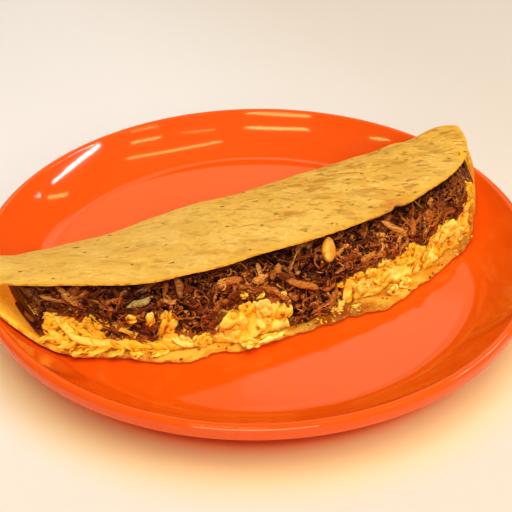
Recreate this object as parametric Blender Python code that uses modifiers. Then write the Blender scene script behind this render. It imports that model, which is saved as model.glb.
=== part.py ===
"""Plate of quesadilla: a long oval corn tortilla folded over shredded meat and cheese.

Lengths are in metres and +Z is up. The origin is the plate's centre on the table. +X runs
along the tortilla's fold, the fold is at the back (+Y) and the open mouth faces -Y.
"""
import math
import random

import bmesh
import bpy
from mathutils import Matrix, Vector, noise
from mathutils.bvhtree import BVHTree

MM = 0.001

# The plate: a flat well, a hollow corner, a sloping wall and a round bead for a rim.
PLATE_RADIUS = 130 * MM
WELL_RADIUS = 100 * MM
WALL_SLOPE = math.radians(43)
CORNER_RADIUS = 17.6 * MM
BEAD_RADIUS = 2.3 * MM
FLOOR_TOP = 5 * MM
WALL_THICKNESS = 3 * MM
FOOT_RADIUS = 88 * MM
FOOT_WIDTH = 4 * MM
PLATE_STEPS = 64

# The tortilla: one oval sheet, folded lengthwise into a lower and an upper flap.
SHEET_REACH = 137.2 * MM
SHEET_THICKNESS = 1.8 * MM
LOWER_FLAP = 106 * MM
UPPER_FLAP = 88.3 * MM
OVAL_SHOULDER = 3.2
OVAL_TIP = 0.667
TIP_SHARE = 0.995
FOLD_BACK = 44 * MM
FOLD_BEND = 15 * MM
FOLD_RADIUS = 7.5 * MM
TIP_FOLD_RADIUS = 2.8 * MM
FOLD_PRESSED_LEFT = (97 * MM, 121 * MM)
FOLD_PRESSED_RIGHT = (101 * MM, 123 * MM)
# Where the fold is thinner or thicker: place along X, amount, half width.
FOLD_SWELLS = ((-63 * MM, -1.5 * MM, 19 * MM), (-16 * MM, 0.9 * MM, 12 * MM))
BED_GAP = 0.75 * MM
BED_CORNER_RADIUS = 30 * MM
OVERHANG_RADIUS = 123 * MM
OVERHANG_FLATTENING = 62.0
# The stiff fold bridges the plate's corner at the right: place along X and height.
FOLD_LIFT = ((15 * MM, 0.0), (42 * MM, 1.2 * MM), (66 * MM, 1.8 * MM), (82 * MM, 2.8 * MM),
             (94 * MM, 3.8 * MM), (106 * MM, 6.5 * MM), (113 * MM, 7.8 * MM), (122 * MM, 5 * MM))
MOUTH_HEIGHT = 34.5 * MM
MOUTH_DROP = 5.5 * MM
FLAP_BULGE = 0.5
FLAP_FORESHORTENING = 0.97
RAGGED = 0.7 * MM
RIPPLE = 0.5 * MM
# Where a flap's edge stands out or draws in: place along X, amount, half width.
LOWER_BULGES = ((-88 * MM, -8.5 * MM, 22 * MM), (-48 * MM, -3 * MM, 10 * MM),
                (36 * MM, 4 * MM, 18 * MM), (100 * MM, 6.5 * MM, 16 * MM))
UPPER_BULGES = ((-122 * MM, -6 * MM, 16 * MM), (104 * MM, 3 * MM, 14 * MM))
SHEET_STATIONS = 42
LOWER_ROWS = 7
FOLD_ROWS = 6
UPPER_ROWS = 8

# The filling: a cheese layer with a shredded meat layer on it, both as long as the mouth.
FILL_REACH_LEFT = 116 * MM
FILL_REACH_RIGHT = 120 * MM
FILL_SHOULDER_LEFT = 14
FILL_SHOULDER_RIGHT = 9
FILL_TIP = 0.55
FILL_DEPTH = 92 * MM
BARE_EDGE = 3 * MM
# Where more or less of the lower flap is left bare: place along X, amount, half width.
BARE_PATCHES = ((-54 * MM, 5 * MM, 17 * MM), (-48 * MM, -3 * MM, 10 * MM), (36 * MM, 4 * MM, 18 * MM))
BARE_MORE_RIGHT = 2.5 * MM
FILL_BACK = 1.7 * MM
# How far the filling's back draws out of the fold where that is thinner or pressed flat.
FILL_DRAWN_BY_FOLD = 0.8
FILL_DRAWN_AT_TIPS = 10.5 * MM
LAYER_GAP = 0.85 * MM
TOUCH_GAP = 0.3 * MM
LAYER_POINTS = 5
CHEESE_HEIGHT = 13.5 * MM
CHEESE_RISE = 2.5 * MM
CHEESE_SHARE_AT_FOLD = 0.42
# Where the cheese is low and meat comes down over it: start, end, drop and softness of the ends.
CHEESE_TROUGHS = ((-124 * MM, -112 * MM, 11 * MM, 4 * MM), (-86 * MM, -67 * MM, 7.8 * MM, 5 * MM),
                  (-59 * MM, -43 * MM, 8 * MM, 3 * MM), (-9 * MM, 14 * MM, 18 * MM, 6 * MM),
                  (66 * MM, 69 * MM, 5 * MM, 3 * MM), (112 * MM, 124 * MM, 8 * MM, 8 * MM))
CHEESE_LEAN_LEFT = 10 * MM
CHEESE_LEAN_RIGHT = 4 * MM
CHEESE_WAVE = 1.2 * MM
CHEESE_NOSE = 1 * MM
CHEESE_UNEVEN = 1.3 * MM
MEAT_BULGE = 1.6 * MM
MEAT_UNEVEN = 1.1 * MM
MEAT_TUCK = 4 * MM
MEAT_LEAST = 2.5 * MM
CHEESE_LEAST = 1 * MM
KERNEL_X = 15 * MM
KERNEL_SHARES = (0.53, 1.03)
KERNEL_TURN = math.radians(22)
KERNEL_SIZE = (6.5 * MM, 4.6 * MM, 11.5 * MM)
KERNEL_STANDOFF = 3.95 * MM
FILL_STATIONS = 38
STRANDS = 48
CHEESE_LUMPS = 20
LUMP_SINKING = Vector((0.0, 0.5, 0.0)) * MM
SEED = 50
SHORTEST_EDGE = 0.08 * MM
THINNEST_TRIANGLE = 0.02 * MM


# ---------------------------------------------------------------- small helpers

def smoothstep(low, high, value):
    t = min(max((value - low) / (high - low), 0.0), 1.0)
    return t * t * (3 - 2 * t)


def blend(a, b, t):
    return a + (b - a) * t


def bell(x, centre, half_width):
    return math.exp(-((x - centre) / half_width) ** 2)


def course(points, x):
    """A smooth line through points given as place and value, level beyond its ends."""
    if x <= points[0][0]:
        return points[0][1]
    if x >= points[-1][0]:
        return points[-1][1]
    k = max(j for j, point in enumerate(points) if point[0] <= x)
    near, far = points[k], points[k + 1]
    before, after = points[max(k - 1, 0)], points[min(k + 2, len(points) - 1)]
    span = far[0] - near[0]
    t = (x - near[0]) / span
    leave = (far[1] - before[1]) / (far[0] - before[0]) * span
    arrive = (after[1] - near[1]) / (after[0] - near[0]) * span
    line = blend(near[1], far[1], t * t * (3 - 2 * t))
    return line + t * (1 - t) * ((1 - t) * leave - t * arrive)


def ripple(x, y, size, layer=0.0):
    """Smooth unevenness between about -1 and 1 whose waves are `size` long."""
    return noise.noise(Vector((x / size, y / size, layer)))


def material(name, colour, roughness, coat=0.0):
    made = bpy.data.materials.new(name)
    made.use_nodes = True
    shader = made.node_tree.nodes["Principled BSDF"]
    shader.inputs["Base Color"].default_value = (*colour, 1.0)
    shader.inputs["Roughness"].default_value = roughness
    shader.inputs["Metallic"].default_value = 0.0
    shader.inputs["Coat Weight"].default_value = coat
    made.diffuse_color = (*colour, 1.0)
    return made


def new_collection(name):
    made = bpy.data.collections.new(name)
    bpy.context.scene.collection.children.link(made)
    return made


def add_object(name, bm, collection, finish=None):
    mesh = bpy.data.meshes.new(name)
    bm.to_mesh(mesh)
    bm.free()
    obj = bpy.data.objects.new(name, mesh)
    collection.objects.link(obj)
    if finish:
        mesh.materials.append(finish)
    return obj


def loft(rings):
    """A closed body through rings of equally many points, with a flat face at each end."""
    bm = bmesh.new()
    loops = [[bm.verts.new(point) for point in ring] for ring in rings]
    count = len(loops[0])
    for near, far in zip(loops, loops[1:]):
        for k in range(count):
            after = (k + 1) % count
            bm.faces.new((near[k], near[after], far[after], far[k]))
    bm.faces.new(list(reversed(loops[0])))
    bm.faces.new(loops[-1])
    bmesh.ops.triangulate(bm, faces=bm.faces)
    bmesh.ops.recalc_face_normals(bm, faces=bm.faces)
    return bm


def along(start, end, count, first=0.0, last=1.0):
    """Shares from `first` to `last`, spread evenly, applied between two numbers."""
    return [blend(start, end, blend(first, last, k / (count - 1))) for k in range(count)]


# ---------------------------------------------------------------- the plate

def wall_rise(radius, corner_radius=CORNER_RADIUS):
    """Height above the well's floor of a line that bends up into the plate's wall."""
    widening = (corner_radius - CORNER_RADIUS) * math.tan(WALL_SLOPE / 2)
    run = max(radius - WELL_RADIUS + widening, 0.0)
    corner_run = corner_radius * math.sin(WALL_SLOPE)
    if run <= corner_run:
        return corner_radius - math.sqrt(corner_radius ** 2 - run ** 2)
    corner_rise = corner_radius * (1 - math.cos(WALL_SLOPE))
    return corner_rise + (run - corner_run) * math.tan(WALL_SLOPE)


def arc(centre, radius, start, end, count):
    """Points of an arc in the profile's plane, from one angle in degrees to another."""
    x, z = centre
    angles = [math.radians(angle) for angle in along(start, end, count)]
    return [(x + radius * math.cos(angle), z + radius * math.sin(angle)) for angle in angles]


def plate_profile():
    slope = math.degrees(WALL_SLOPE)
    corner = (WELL_RADIUS, FLOOR_TOP + CORNER_RADIUS)
    bead_x = PLATE_RADIUS - BEAD_RADIUS
    tangent_x = bead_x - BEAD_RADIUS * math.sin(WALL_SLOPE)
    bead = (bead_x, FLOOR_TOP + wall_rise(tangent_x) - BEAD_RADIUS * math.cos(WALL_SLOPE))
    underside = FLOOR_TOP - WALL_THICKNESS
    profile = [(0.0, FLOOR_TOP)]
    profile += arc(corner, CORNER_RADIUS, -90, slope - 90, 5)
    profile += arc(bead, BEAD_RADIUS, 90 + slope, -75, 7)
    profile += arc(corner, CORNER_RADIUS + WALL_THICKNESS, slope - 90, -90, 3)
    profile += [(FOOT_RADIUS + FOOT_WIDTH, underside), (FOOT_RADIUS + 0.75 * FOOT_WIDTH, 0.0)]
    profile += [(FOOT_RADIUS + 0.25 * FOOT_WIDTH, 0.0), (FOOT_RADIUS, underside), (0.0, underside)]
    return profile


def make_plate(collection):
    bm = bmesh.new()
    points = [bm.verts.new((x, 0.0, z)) for x, z in plate_profile()]
    for start, end in zip(points, points[1:]):
        bm.edges.new((start, end))
    glaze = material("orange_glaze", (0.87, 0.11, 0.008), 0.22, 0.5)
    plate = add_object("plate", bm, collection, glaze)
    screw = plate.modifiers.new("turn", "SCREW")
    screw.steps = PLATE_STEPS
    screw.render_steps = PLATE_STEPS
    screw.use_merge_vertices = True
    screw.merge_threshold = 0.00005
    screw.use_smooth_shade = True
    return plate


# ---------------------------------------------------------------- the tortilla

def tip_share(x):
    """0 in the middle of the sheet and 1 at either tip."""
    return min(abs(x) / SHEET_REACH, 1.0)


def bed_height(x, y):
    """Height of the tortilla's underside.

    It lies on the plate's floor and wall and reaches out over the rim. The stiff fold
    bridges the plate's corner, so towards the tips the back of the sheet stands clear of it.
    """
    radius = math.hypot(x, y)
    beyond = max(radius - OVERHANG_RADIUS, 0.0)
    rise = wall_rise(min(radius, OVERHANG_RADIUS), BED_CORNER_RADIUS)
    rise += math.tan(WALL_SLOPE) * beyond - OVERHANG_FLATTENING * beyond ** 2 / 2
    lift = course(FOLD_LIFT, x) * smoothstep(-30 * MM, 35 * MM, y)
    rise = (rise + lift + math.hypot(rise - lift, 0.3 * lift)) / 2
    return FLOOR_TOP + BED_GAP + rise


def fold_radius(x):
    """The fold is round in the middle and pressed nearly flat at the tips."""
    pressed = FOLD_PRESSED_RIGHT if x > 0 else FOLD_PRESSED_LEFT
    swell = sum(amount * bell(x, place, width) for place, amount, width in FOLD_SWELLS)
    return blend(FOLD_RADIUS + swell, TIP_FOLD_RADIUS, smoothstep(*pressed, abs(x)))


def fold_axis(x):
    """Y and Z of the middle of the fold at station x."""
    radius = fold_radius(x)
    y = FOLD_BACK - radius - FOLD_BEND * tip_share(x) ** 6
    return y, bed_height(x, y) + radius


def lower_reach(x):
    """Length of the lower flap at station x, measured from the fold's rearmost line."""
    oval = (1 - tip_share(x) ** OVAL_SHOULDER) ** OVAL_TIP
    bulge = sum(amount * bell(x, place, width) for place, amount, width in LOWER_BULGES)
    ragged = RAGGED * (ripple(x, 0.0, 9 * MM, 1.3) + ripple(x, 0.0, 4 * MM, 2.3))
    return oval * (LOWER_FLAP + bulge + 2 * ragged)


def upper_reach(x):
    oval = (1 - tip_share(x) ** OVAL_SHOULDER) ** OVAL_TIP
    bulge = sum(amount * bell(x, place, width) for place, amount, width in UPPER_BULGES)
    return oval * (UPPER_FLAP + bulge + RAGGED * ripple(x, 0.0, 14 * MM, 5.1))


def mouth_height(x):
    """Height of the upper flap's front edge."""
    return FLOOR_TOP + MOUTH_HEIGHT - MOUTH_DROP * smoothstep(95 * MM, SHEET_REACH, abs(x))


def upper_slope(x):
    """Slope of the upper flap where it leaves the fold."""
    rise = mouth_height(x) - fold_axis(x)[1] - fold_radius(x)
    run = max(upper_reach(x) * FLAP_FORESHORTENING, 6 * MM)
    return min(max((1 + FLAP_BULGE) * rise / run, 0.0), 0.6)


def upper_start(x):
    """Angle, Y and Z at which the fold passes into the upper flap."""
    y, z = fold_axis(x)
    angle = math.pi / 2 - math.atan(upper_slope(x))
    radius = fold_radius(x)
    return angle, y + radius * math.cos(angle), z + radius * math.sin(angle)


def upper_height(x, y):
    """Height of the upper flap's outer face over a point in plan."""
    _, start_y, start_z = upper_start(x)
    run = max(start_y - y, 0.0)
    share = min(run / max(start_y - upper_edge(x), 1 * MM), 1.3)
    rise = (mouth_height(x) - start_z) * share * (1 + FLAP_BULGE * (1 - share))
    settle = smoothstep(0.0, 20 * MM, run)
    return start_z + rise + settle * RIPPLE * ripple(x, y, 26 * MM, 8.0)


def lower_edge(x):
    """Y of the lower flap's front edge."""
    turn = min(fold_radius(x) * math.pi / 2, 0.5 * lower_reach(x))
    return fold_axis(x)[0] - (lower_reach(x) - turn)


def upper_edge(x):
    """Y of the upper flap's front edge."""
    angle, start_y, _ = upper_start(x)
    turn = min(fold_radius(x) * angle, 0.5 * upper_reach(x))
    return start_y - (upper_reach(x) - turn) * FLAP_FORESHORTENING


def sheet_section(x):
    """The outer line of the folded sheet at station x, from lower edge round to upper edge."""
    axis_y, axis_z = fold_axis(x)
    radius = fold_radius(x)
    angle, start_y, _ = upper_start(x)
    line = [(y, bed_height(x, y)) for y in along(lower_edge(x), axis_y, LOWER_ROWS + 1)[:-1]]
    for turn in along(-math.pi / 2, angle, FOLD_ROWS + 1):
        y = axis_y + radius * math.cos(turn)
        line.append((y, max(axis_z + radius * math.sin(turn), bed_height(x, y))))
    line += [(y, upper_height(x, y)) for y in along(start_y, upper_edge(x), UPPER_ROWS + 1)[1:]]
    return line


def make_tortilla(collection):
    rows = LOWER_ROWS + FOLD_ROWS + UPPER_ROWS
    bm = bmesh.new()
    bmesh.ops.create_grid(bm, x_segments=SHEET_STATIONS, y_segments=rows, size=1.0)
    for vert in bm.verts:
        across = round((vert.co.y + 1) / 2 * rows)
        x = SHEET_REACH * TIP_SHARE * math.sin(vert.co.x * math.pi / 2)
        vert.co = (x, *sheet_section(x)[across])
    corn = material("corn_tortilla", (0.83, 0.47, 0.10), 0.7)
    tortilla = add_object("tortilla", bm, collection, corn)
    bpy.context.view_layer.objects.active = tortilla
    thickness = tortilla.modifiers.new("thickness", "SOLIDIFY")
    thickness.thickness = SHEET_THICKNESS
    thickness.offset = 1.0
    tortilla.data.shade_smooth()
    return tortilla


# ---------------------------------------------------------------- the filling's form

def fill_front(x):
    """Y of the filling's foot: just inside the lower flap's edge, rounded off at both ends."""
    reach, shoulder = FILL_REACH_RIGHT, FILL_SHOULDER_RIGHT
    if x < 0:
        reach, shoulder = FILL_REACH_LEFT, FILL_SHOULDER_LEFT
    share = min(abs(x) / reach, 1.0)
    oval = fold_axis(x)[0] - FILL_DEPTH * (1 - share ** shoulder) ** FILL_TIP
    bare = BARE_EDGE + sum(amount * bell(x, place, width) for place, amount, width in BARE_PATCHES)
    bare += BARE_MORE_RIGHT * smoothstep(-30 * MM, 10 * MM, x)
    return max(oval, lower_edge(x) + bare)


def fill_rear(x):
    """Y of the filling's back, drawn out of the fold where that is thin or pressed flat."""
    drawn = FILL_DRAWN_BY_FOLD * max(FOLD_RADIUS - fold_radius(x), 0.0)
    drawn += FILL_DRAWN_AT_TIPS * smoothstep(*FOLD_PRESSED_RIGHT, abs(x))
    return fold_axis(x)[0] + FILL_BACK - drawn


def fill_floor(x, y):
    """The filling lies on the lower flap, which is thicker in plan where it climbs the wall."""
    climb = smoothstep(WELL_RADIUS - 4 * MM, WELL_RADIUS + 14 * MM, math.hypot(x, y))
    return bed_height(x, y) + SHEET_THICKNESS * (1 + 0.4 * climb) + LAYER_GAP


def fill_roof(x, y):
    """The upper flap lies on the filling."""
    return upper_height(x, y) - SHEET_THICKNESS * 1.12 - LAYER_GAP


def cheese_height(x):
    """Height of the cheese at the mouth, above the lower flap, where there is room for it."""
    height = CHEESE_HEIGHT + CHEESE_RISE * smoothstep(20 * MM, 100 * MM, x)
    for start, end, drop, soft in CHEESE_TROUGHS:
        height -= drop * smoothstep(start - soft, start, x) * (1 - smoothstep(end, end + soft, x))
    height += CHEESE_WAVE * ripple(x, 0.0, 11 * MM, 3.0)
    y = fill_front(x)
    return max(min(height, fill_roof(x, y) - fill_floor(x, y) - MEAT_LEAST), CHEESE_LEAST)


def cheese_lean(x):
    return blend(CHEESE_LEAN_LEFT, CHEESE_LEAN_RIGHT, smoothstep(-40 * MM, 20 * MM, x))


def cheese_face(x, rise):
    """Y of the cheese's front at a height above its foot: a low nose that leans back."""
    lean = cheese_lean(x) * min(1.0, (fill_rear(x) - fill_front(x)) / (40 * MM))
    nose = CHEESE_NOSE * math.sin(min(rise / (5 * MM), 1.0) * math.pi)
    uneven = CHEESE_UNEVEN * ripple(x, rise, 10 * MM, 4.0)
    return fill_front(x) + lean * (rise / CHEESE_HEIGHT) - nose + uneven


def cheese_top(x, y):
    """Height of the cheese's upper face, which thins towards the fold."""
    front = cheese_face(x, cheese_height(x))
    rear = fill_rear(x)
    back_space = fill_roof(x, rear) - fill_floor(x, rear)
    share = min(max((y - front) / max(rear - front, 1 * MM), 0.0), 1.0)
    thickness = blend(cheese_height(x), CHEESE_SHARE_AT_FOLD * back_space, share ** 0.7)
    room = fill_roof(x, y) - fill_floor(x, y) - MEAT_LEAST
    return fill_floor(x, y) + max(min(thickness, room), CHEESE_LEAST)


def meat_face(x, share):
    """Y of the meat's front: on the cheese at share 0 and tucked under the flap at share 1."""
    foot = cheese_face(x, cheese_height(x))
    head = max(upper_edge(x) + MEAT_TUCK, foot + 3 * MM)
    head = min(head, fill_rear(x) - 4 * MM)
    bulge = MEAT_BULGE * math.sin(math.pi * share)
    uneven = MEAT_UNEVEN * ripple(x, share * 20 * MM, 7 * MM, 6.0) * min(5 * share, 1.0)
    return blend(foot, head, share ** 1.3) - bulge + uneven


def gap_between_layers(x):
    """Upright gap between cheese and meat, wider where they climb the plate's wall."""
    return 2 * TOUCH_GAP * (1 + smoothstep(98 * MM, 114 * MM, abs(x)))


def meat_point(x, share):
    """A point of the meat's front, between the cheese and the upper flap."""
    y = meat_face(x, share)
    foot = meat_face(x, 0.0)
    low = cheese_top(x, foot) + gap_between_layers(x)
    return Vector((x, y, blend(low, fill_roof(x, y), share)))


def cheese_point(x, share):
    rise = share * cheese_height(x)
    y = cheese_face(x, rise)
    return Vector((x, y, fill_floor(x, y) + rise))


def fill_stations():
    """Stations along X, closer together where the filling rounds off at its ends."""
    turn = math.pi / 2 * 0.9
    for angle in along(-turn, turn, FILL_STATIONS):
        reach = FILL_REACH_RIGHT if angle > 0 else FILL_REACH_LEFT
        yield reach * math.sin(angle)


def layer_line(x):
    """The line between the two layers at station x, from the mouth to the fold."""
    front = cheese_face(x, cheese_height(x))
    return [Vector((x, y, cheese_top(x, y))) for y in along(front, fill_rear(x), LAYER_POINTS)]


def cheese_ring(x):
    face = [cheese_point(x, share) for share in (0.0, 0.2, 0.45, 0.75)]
    floor = [Vector((x, y, fill_floor(x, y))) for y in along(fill_rear(x), face[0].y, 4)[:-1]]
    return face + layer_line(x) + floor


def meat_ring(x):
    face = [meat_point(x, share) for share in (0.18, 0.4, 0.6, 0.8, 1.0)]
    roof = [Vector((x, y, fill_roof(x, y))) for y in along(face[-1].y, fill_rear(x), 4)[1:]]
    floor = [point + Vector((0.0, 0.0, gap_between_layers(x))) for point in reversed(layer_line(x))]
    return face + roof + floor


# ---------------------------------------------------------------- pieces of the filling

def ribbon(path, width, thickness, sides=4):
    """A shred: a flattened tube along a path, drawn in at both ends."""
    rings = []
    for k, point in enumerate(path):
        ahead = path[min(k + 1, len(path) - 1)] - path[max(k - 1, 0)]
        side = ahead.cross(Vector((0.0, -0.6, 0.8))).normalized()
        out = side.cross(ahead).normalized()
        taper = 0.55 if k in (0, len(path) - 1) else 1.0
        ring = []
        for corner in range(sides):
            angle = math.tau * corner / sides
            offset = side * width / 2 * math.cos(angle) + out * thickness / 2 * math.sin(angle)
            ring.append(point + taper * offset)
        rings.append(ring)
    return loft(rings)


def crumb(centre, size, rng, detail=1):
    """A lump with an uneven, slightly angular skin."""
    bm = bmesh.new()
    bmesh.ops.create_icosphere(bm, subdivisions=detail, radius=0.5)
    layer = rng.uniform(0, 50)
    for vert in bm.verts:
        swell = 1 + 0.35 * noise.noise(vert.co * 2.6 + Vector((layer, 0.0, 0.0)))
        vert.co = centre + Vector([c * s * swell for c, s in zip(vert.co, size)])
    return bm


def tree_of(bm, margin=0.0):
    """A search tree of a mesh, first grown outward by a margin."""
    grown = bm.copy()
    grown.normal_update()
    for vert in grown.verts:
        vert.co += vert.normal * margin
    tree = BVHTree.FromBMesh(grown)
    grown.free()
    return tree


def evaluated_tree(obj):
    graph = bpy.context.evaluated_depsgraph_get()
    return BVHTree.FromObject(obj, graph)


def clear_of(bm, neighbours):
    grown = tree_of(bm, TOUCH_GAP + 0.15 * MM)
    return not any(grown.overlap(neighbour) for neighbour in neighbours)


def meat_shred(rng, x, share):
    """A shred that follows the meat's face, its middle standing a little proud."""
    length = rng.uniform(9, 19) * MM
    tilt = rng.gauss(0, 0.45)
    width = rng.uniform(1.5, 2.6) * MM
    proud = rng.uniform(0.1, 0.7) * MM
    path = []
    for step in along(-0.5, 0.5, 5):
        px = x + step * length * math.cos(tilt)
        rise = share + step * length * math.sin(tilt) / (16 * MM)
        point = meat_point(px, min(max(rise, 0.1), 0.86))
        bow = proud + 0.8 * MM * math.cos(step * math.pi) + rng.uniform(-0.3, 0.3) * MM
        path.append(point + Vector((0.0, -0.8, 0.6)) * bow)
    return ribbon(path, width, width * rng.uniform(0.5, 0.8))


def meat_shreds(rng):
    for k in range(STRANDS):
        x = blend(-108 * MM, 112 * MM, (k + rng.random()) / STRANDS)
        yield meat_shred(rng, x, (k * 0.618 + 0.2) % 1.0 * 0.8 + 0.1)


def meat_chunks(rng):
    """Paler bits as large as peas that lie in the meat near the middle."""
    chunks = ((-16, 0.72, 6.5), (-7, 0.55, 6.0), (-18, 0.42, 5.5), (62, 0.5, 6.0), (101, 0.5, 6.5))
    for x, share, size in chunks:
        yield crumb(meat_point(x * MM, share), Vector((1.0, 0.8, 0.8)) * size * MM, rng)


def cheese_lumps(rng):
    for k in range(CHEESE_LUMPS):
        x = blend(-48 * MM, 112 * MM, (k + rng.random()) / CHEESE_LUMPS)
        share = rng.uniform(0.3, 0.7)
        size = Vector((rng.uniform(9, 16), rng.uniform(6, 8), rng.uniform(6, 10))) * MM
        yield crumb(cheese_point(x, share) + LUMP_SINKING, size, rng)


def cheese_strips(rng):
    """Pulled strips that lie along the left of the mouth and slope down to the right."""
    for k in range(9):
        x = blend(-100 * MM, -66 * MM, k / 8)
        share = 0.25 + 0.6 * ((k * 0.618) % 1.0)
        length = rng.uniform(14, 26) * MM
        path = []
        for step in along(-0.5, 0.5, 6):
            point = cheese_point(x + step * length, min(max(share - 0.45 * step, 0.12), 0.92))
            path.append(point + Vector((0.0, -0.8, 0.3)) * rng.uniform(0.4, 1.1) * MM)
        yield ribbon(path, rng.uniform(2.4, 4.0) * MM, rng.uniform(1.4, 2.0) * MM)


def cheese_flakes(rng):
    """Two pale pieces that have slid down to the lower flap's edge."""
    for x, forward, size in ((-32, 1.5, (10, 6, 3.4)), (48, 1.0, (7, 5, 5))):
        foot = cheese_point(x * MM, 0.1)
        y = foot.y - forward * MM
        height = fill_floor(x * MM, y) + size[2] * 0.5 * MM
        yield crumb(Vector((x * MM, y, height)), Vector(size) * MM, rng)


# ---------------------------------------------------------------- joining

def keep_body(bm):
    """Drop everything but the largest connected body: loose scraps and sealed hollows."""
    unseen = set(bm.faces)
    islands = []
    while unseen:
        stack = [unseen.pop()]
        island = []
        while stack:
            face = stack.pop()
            island.append(face)
            for edge in face.edges:
                for other in edge.link_faces:
                    if other in unseen:
                        unseen.remove(other)
                        stack.append(other)
        islands.append(island)
    islands.sort(key=len)
    for island in islands[:-1]:
        bmesh.ops.delete(bm, geom=island, context="FACES")


def drop_short_edges(bm, length):
    """Merge the ends of very short edges wherever the surface stays closed."""
    short = [edge for edge in bm.edges if edge.calc_length() < length]
    while short:
        edge = short.pop()
        if not edge.is_valid or edge.calc_length() >= length:
            continue
        start, end = edge.verts
        around = [{e.other_vert(vert) for e in vert.link_edges} for vert in (start, end)]
        if len(around[0] & around[1]) == 2:
            bmesh.ops.pointmerge(bm, verts=[start, end], merge_co=(start.co + end.co) / 2)
            short = [edge for edge in bm.edges if edge.calc_length() < length]


def flip_slivers(bm, height):
    """Turn the long edge of each needle-thin triangle to the other diagonal."""
    for face in list(bm.faces):
        if not face.is_valid:
            continue
        edge = max(face.edges, key=lambda side: side.calc_length())
        if 2 * face.calc_area() / edge.calc_length() >= height:
            continue
        tips = [next(v for v in near.verts if v not in edge.verts) for near in edge.link_faces]
        if len(tips) == 2 and not bm.edges.get(tips):
            bmesh.ops.rotate_edges(bm, edges=[edge])


def fuse(core, pieces):
    """Join the pieces to the core with one union, then remove them."""
    heap = new_collection(core.name + "_pieces")
    for k, piece in enumerate(pieces):
        add_object("{}_piece_{}".format(core.name, k), piece, heap)
    union = core.modifiers.new("union", "BOOLEAN")
    union.operation = "UNION"
    union.operand_type = "COLLECTION"
    union.collection = heap
    union.solver = "MANIFOLD"
    graph = bpy.context.evaluated_depsgraph_get()
    joined = bpy.data.meshes.new_from_object(core.evaluated_get(graph))
    core.modifiers.remove(union)
    bm = bmesh.new()
    bm.from_mesh(joined)
    bmesh.ops.triangulate(bm, faces=bm.faces)
    drop_short_edges(bm, SHORTEST_EDGE)
    flip_slivers(bm, THINNEST_TRIANGLE)
    keep_body(bm)
    bm.to_mesh(core.data)
    bm.free()
    bpy.data.meshes.remove(joined)
    for piece in list(heap.objects):
        bpy.data.objects.remove(piece)
    bpy.data.collections.remove(heap)


def make_cheese(collection, neighbours):
    curd = material("white_cheese", (0.93, 0.62, 0.19), 0.45)
    cheese = add_object("cheese", loft([cheese_ring(x) for x in fill_stations()]), collection, curd)
    rng = random.Random(SEED)
    pieces = [*cheese_lumps(rng), *cheese_strips(rng), *cheese_flakes(rng)]
    fuse(cheese, [piece for piece in pieces if clear_of(piece, neighbours)])
    return cheese


def make_meat(core, neighbours):
    rng = random.Random(SEED + 1)
    pieces = [*meat_chunks(rng), *meat_shreds(rng)]
    fuse(core, [piece for piece in pieces if clear_of(piece, neighbours)])
    return core


def make_kernel(collection):
    """One plump yellow kernel that leans on the meat just under the upper flap."""
    bm = bmesh.new()
    bmesh.ops.create_icosphere(bm, subdivisions=2, radius=0.5)
    low, high = (meat_point(KERNEL_X, share) for share in KERNEL_SHARES)
    lean = math.atan2(high.y - low.y, high.z - low.z)
    for vert in bm.verts:
        narrow = 1 - 0.3 * smoothstep(0.0, 0.5, vert.co.z)
        vert.co = Vector([c * size for c, size in zip(vert.co, KERNEL_SIZE)])
        vert.co.x *= narrow
    spin = Matrix.Rotation(-lean, 3, "X") @ Matrix.Rotation(KERNEL_TURN, 3, "Y")
    bmesh.ops.rotate(bm, verts=bm.verts, matrix=spin)
    out = Vector((0.0, -math.cos(lean), math.sin(lean)))
    bmesh.ops.translate(bm, verts=bm.verts, vec=(low + high) / 2 + out * KERNEL_STANDOFF)
    grain = material("yellow_kernel", (0.85, 0.42, 0.03), 0.35, 0.3)
    return add_object("kernel", bm, collection, grain)


def main():
    for obj in list(bpy.data.objects):
        bpy.data.objects.remove(obj)
    part = new_collection("plate_of_quesadilla")
    plate = make_plate(part)
    tortilla = make_tortilla(part)
    stewed = material("stewed_meat", (0.10, 0.022, 0.008), 0.35, 0.4)
    meat = add_object("shredded_meat", loft([meat_ring(x) for x in fill_stations()]), part, stewed)
    kernel = make_kernel(part)
    shells = [evaluated_tree(plate), evaluated_tree(tortilla), evaluated_tree(kernel)]
    cheese = make_cheese(part, shells + [evaluated_tree(meat)])
    make_meat(meat, shells + [evaluated_tree(cheese)])


main()
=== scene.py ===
"""Plate of quesadilla, dressed: a long folded corn tortilla on a round orange plate.

The mouth of the tortilla shows braised, shredded meat on a bed of melted curd cheese.
Lengths are in millimetres, but the table, the lights and the camera are set out in metres.
The fold runs along X at the back and the mouth faces -Y.
"""

import random
from functools import cache
from math import atan, atan2, cos, degrees, exp, floor, hypot, pi, radians, sin, sqrt, tan, tau

import bmesh
import bpy
from mathutils import Matrix, Vector
from mathutils.noise import noise, voronoi


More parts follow.
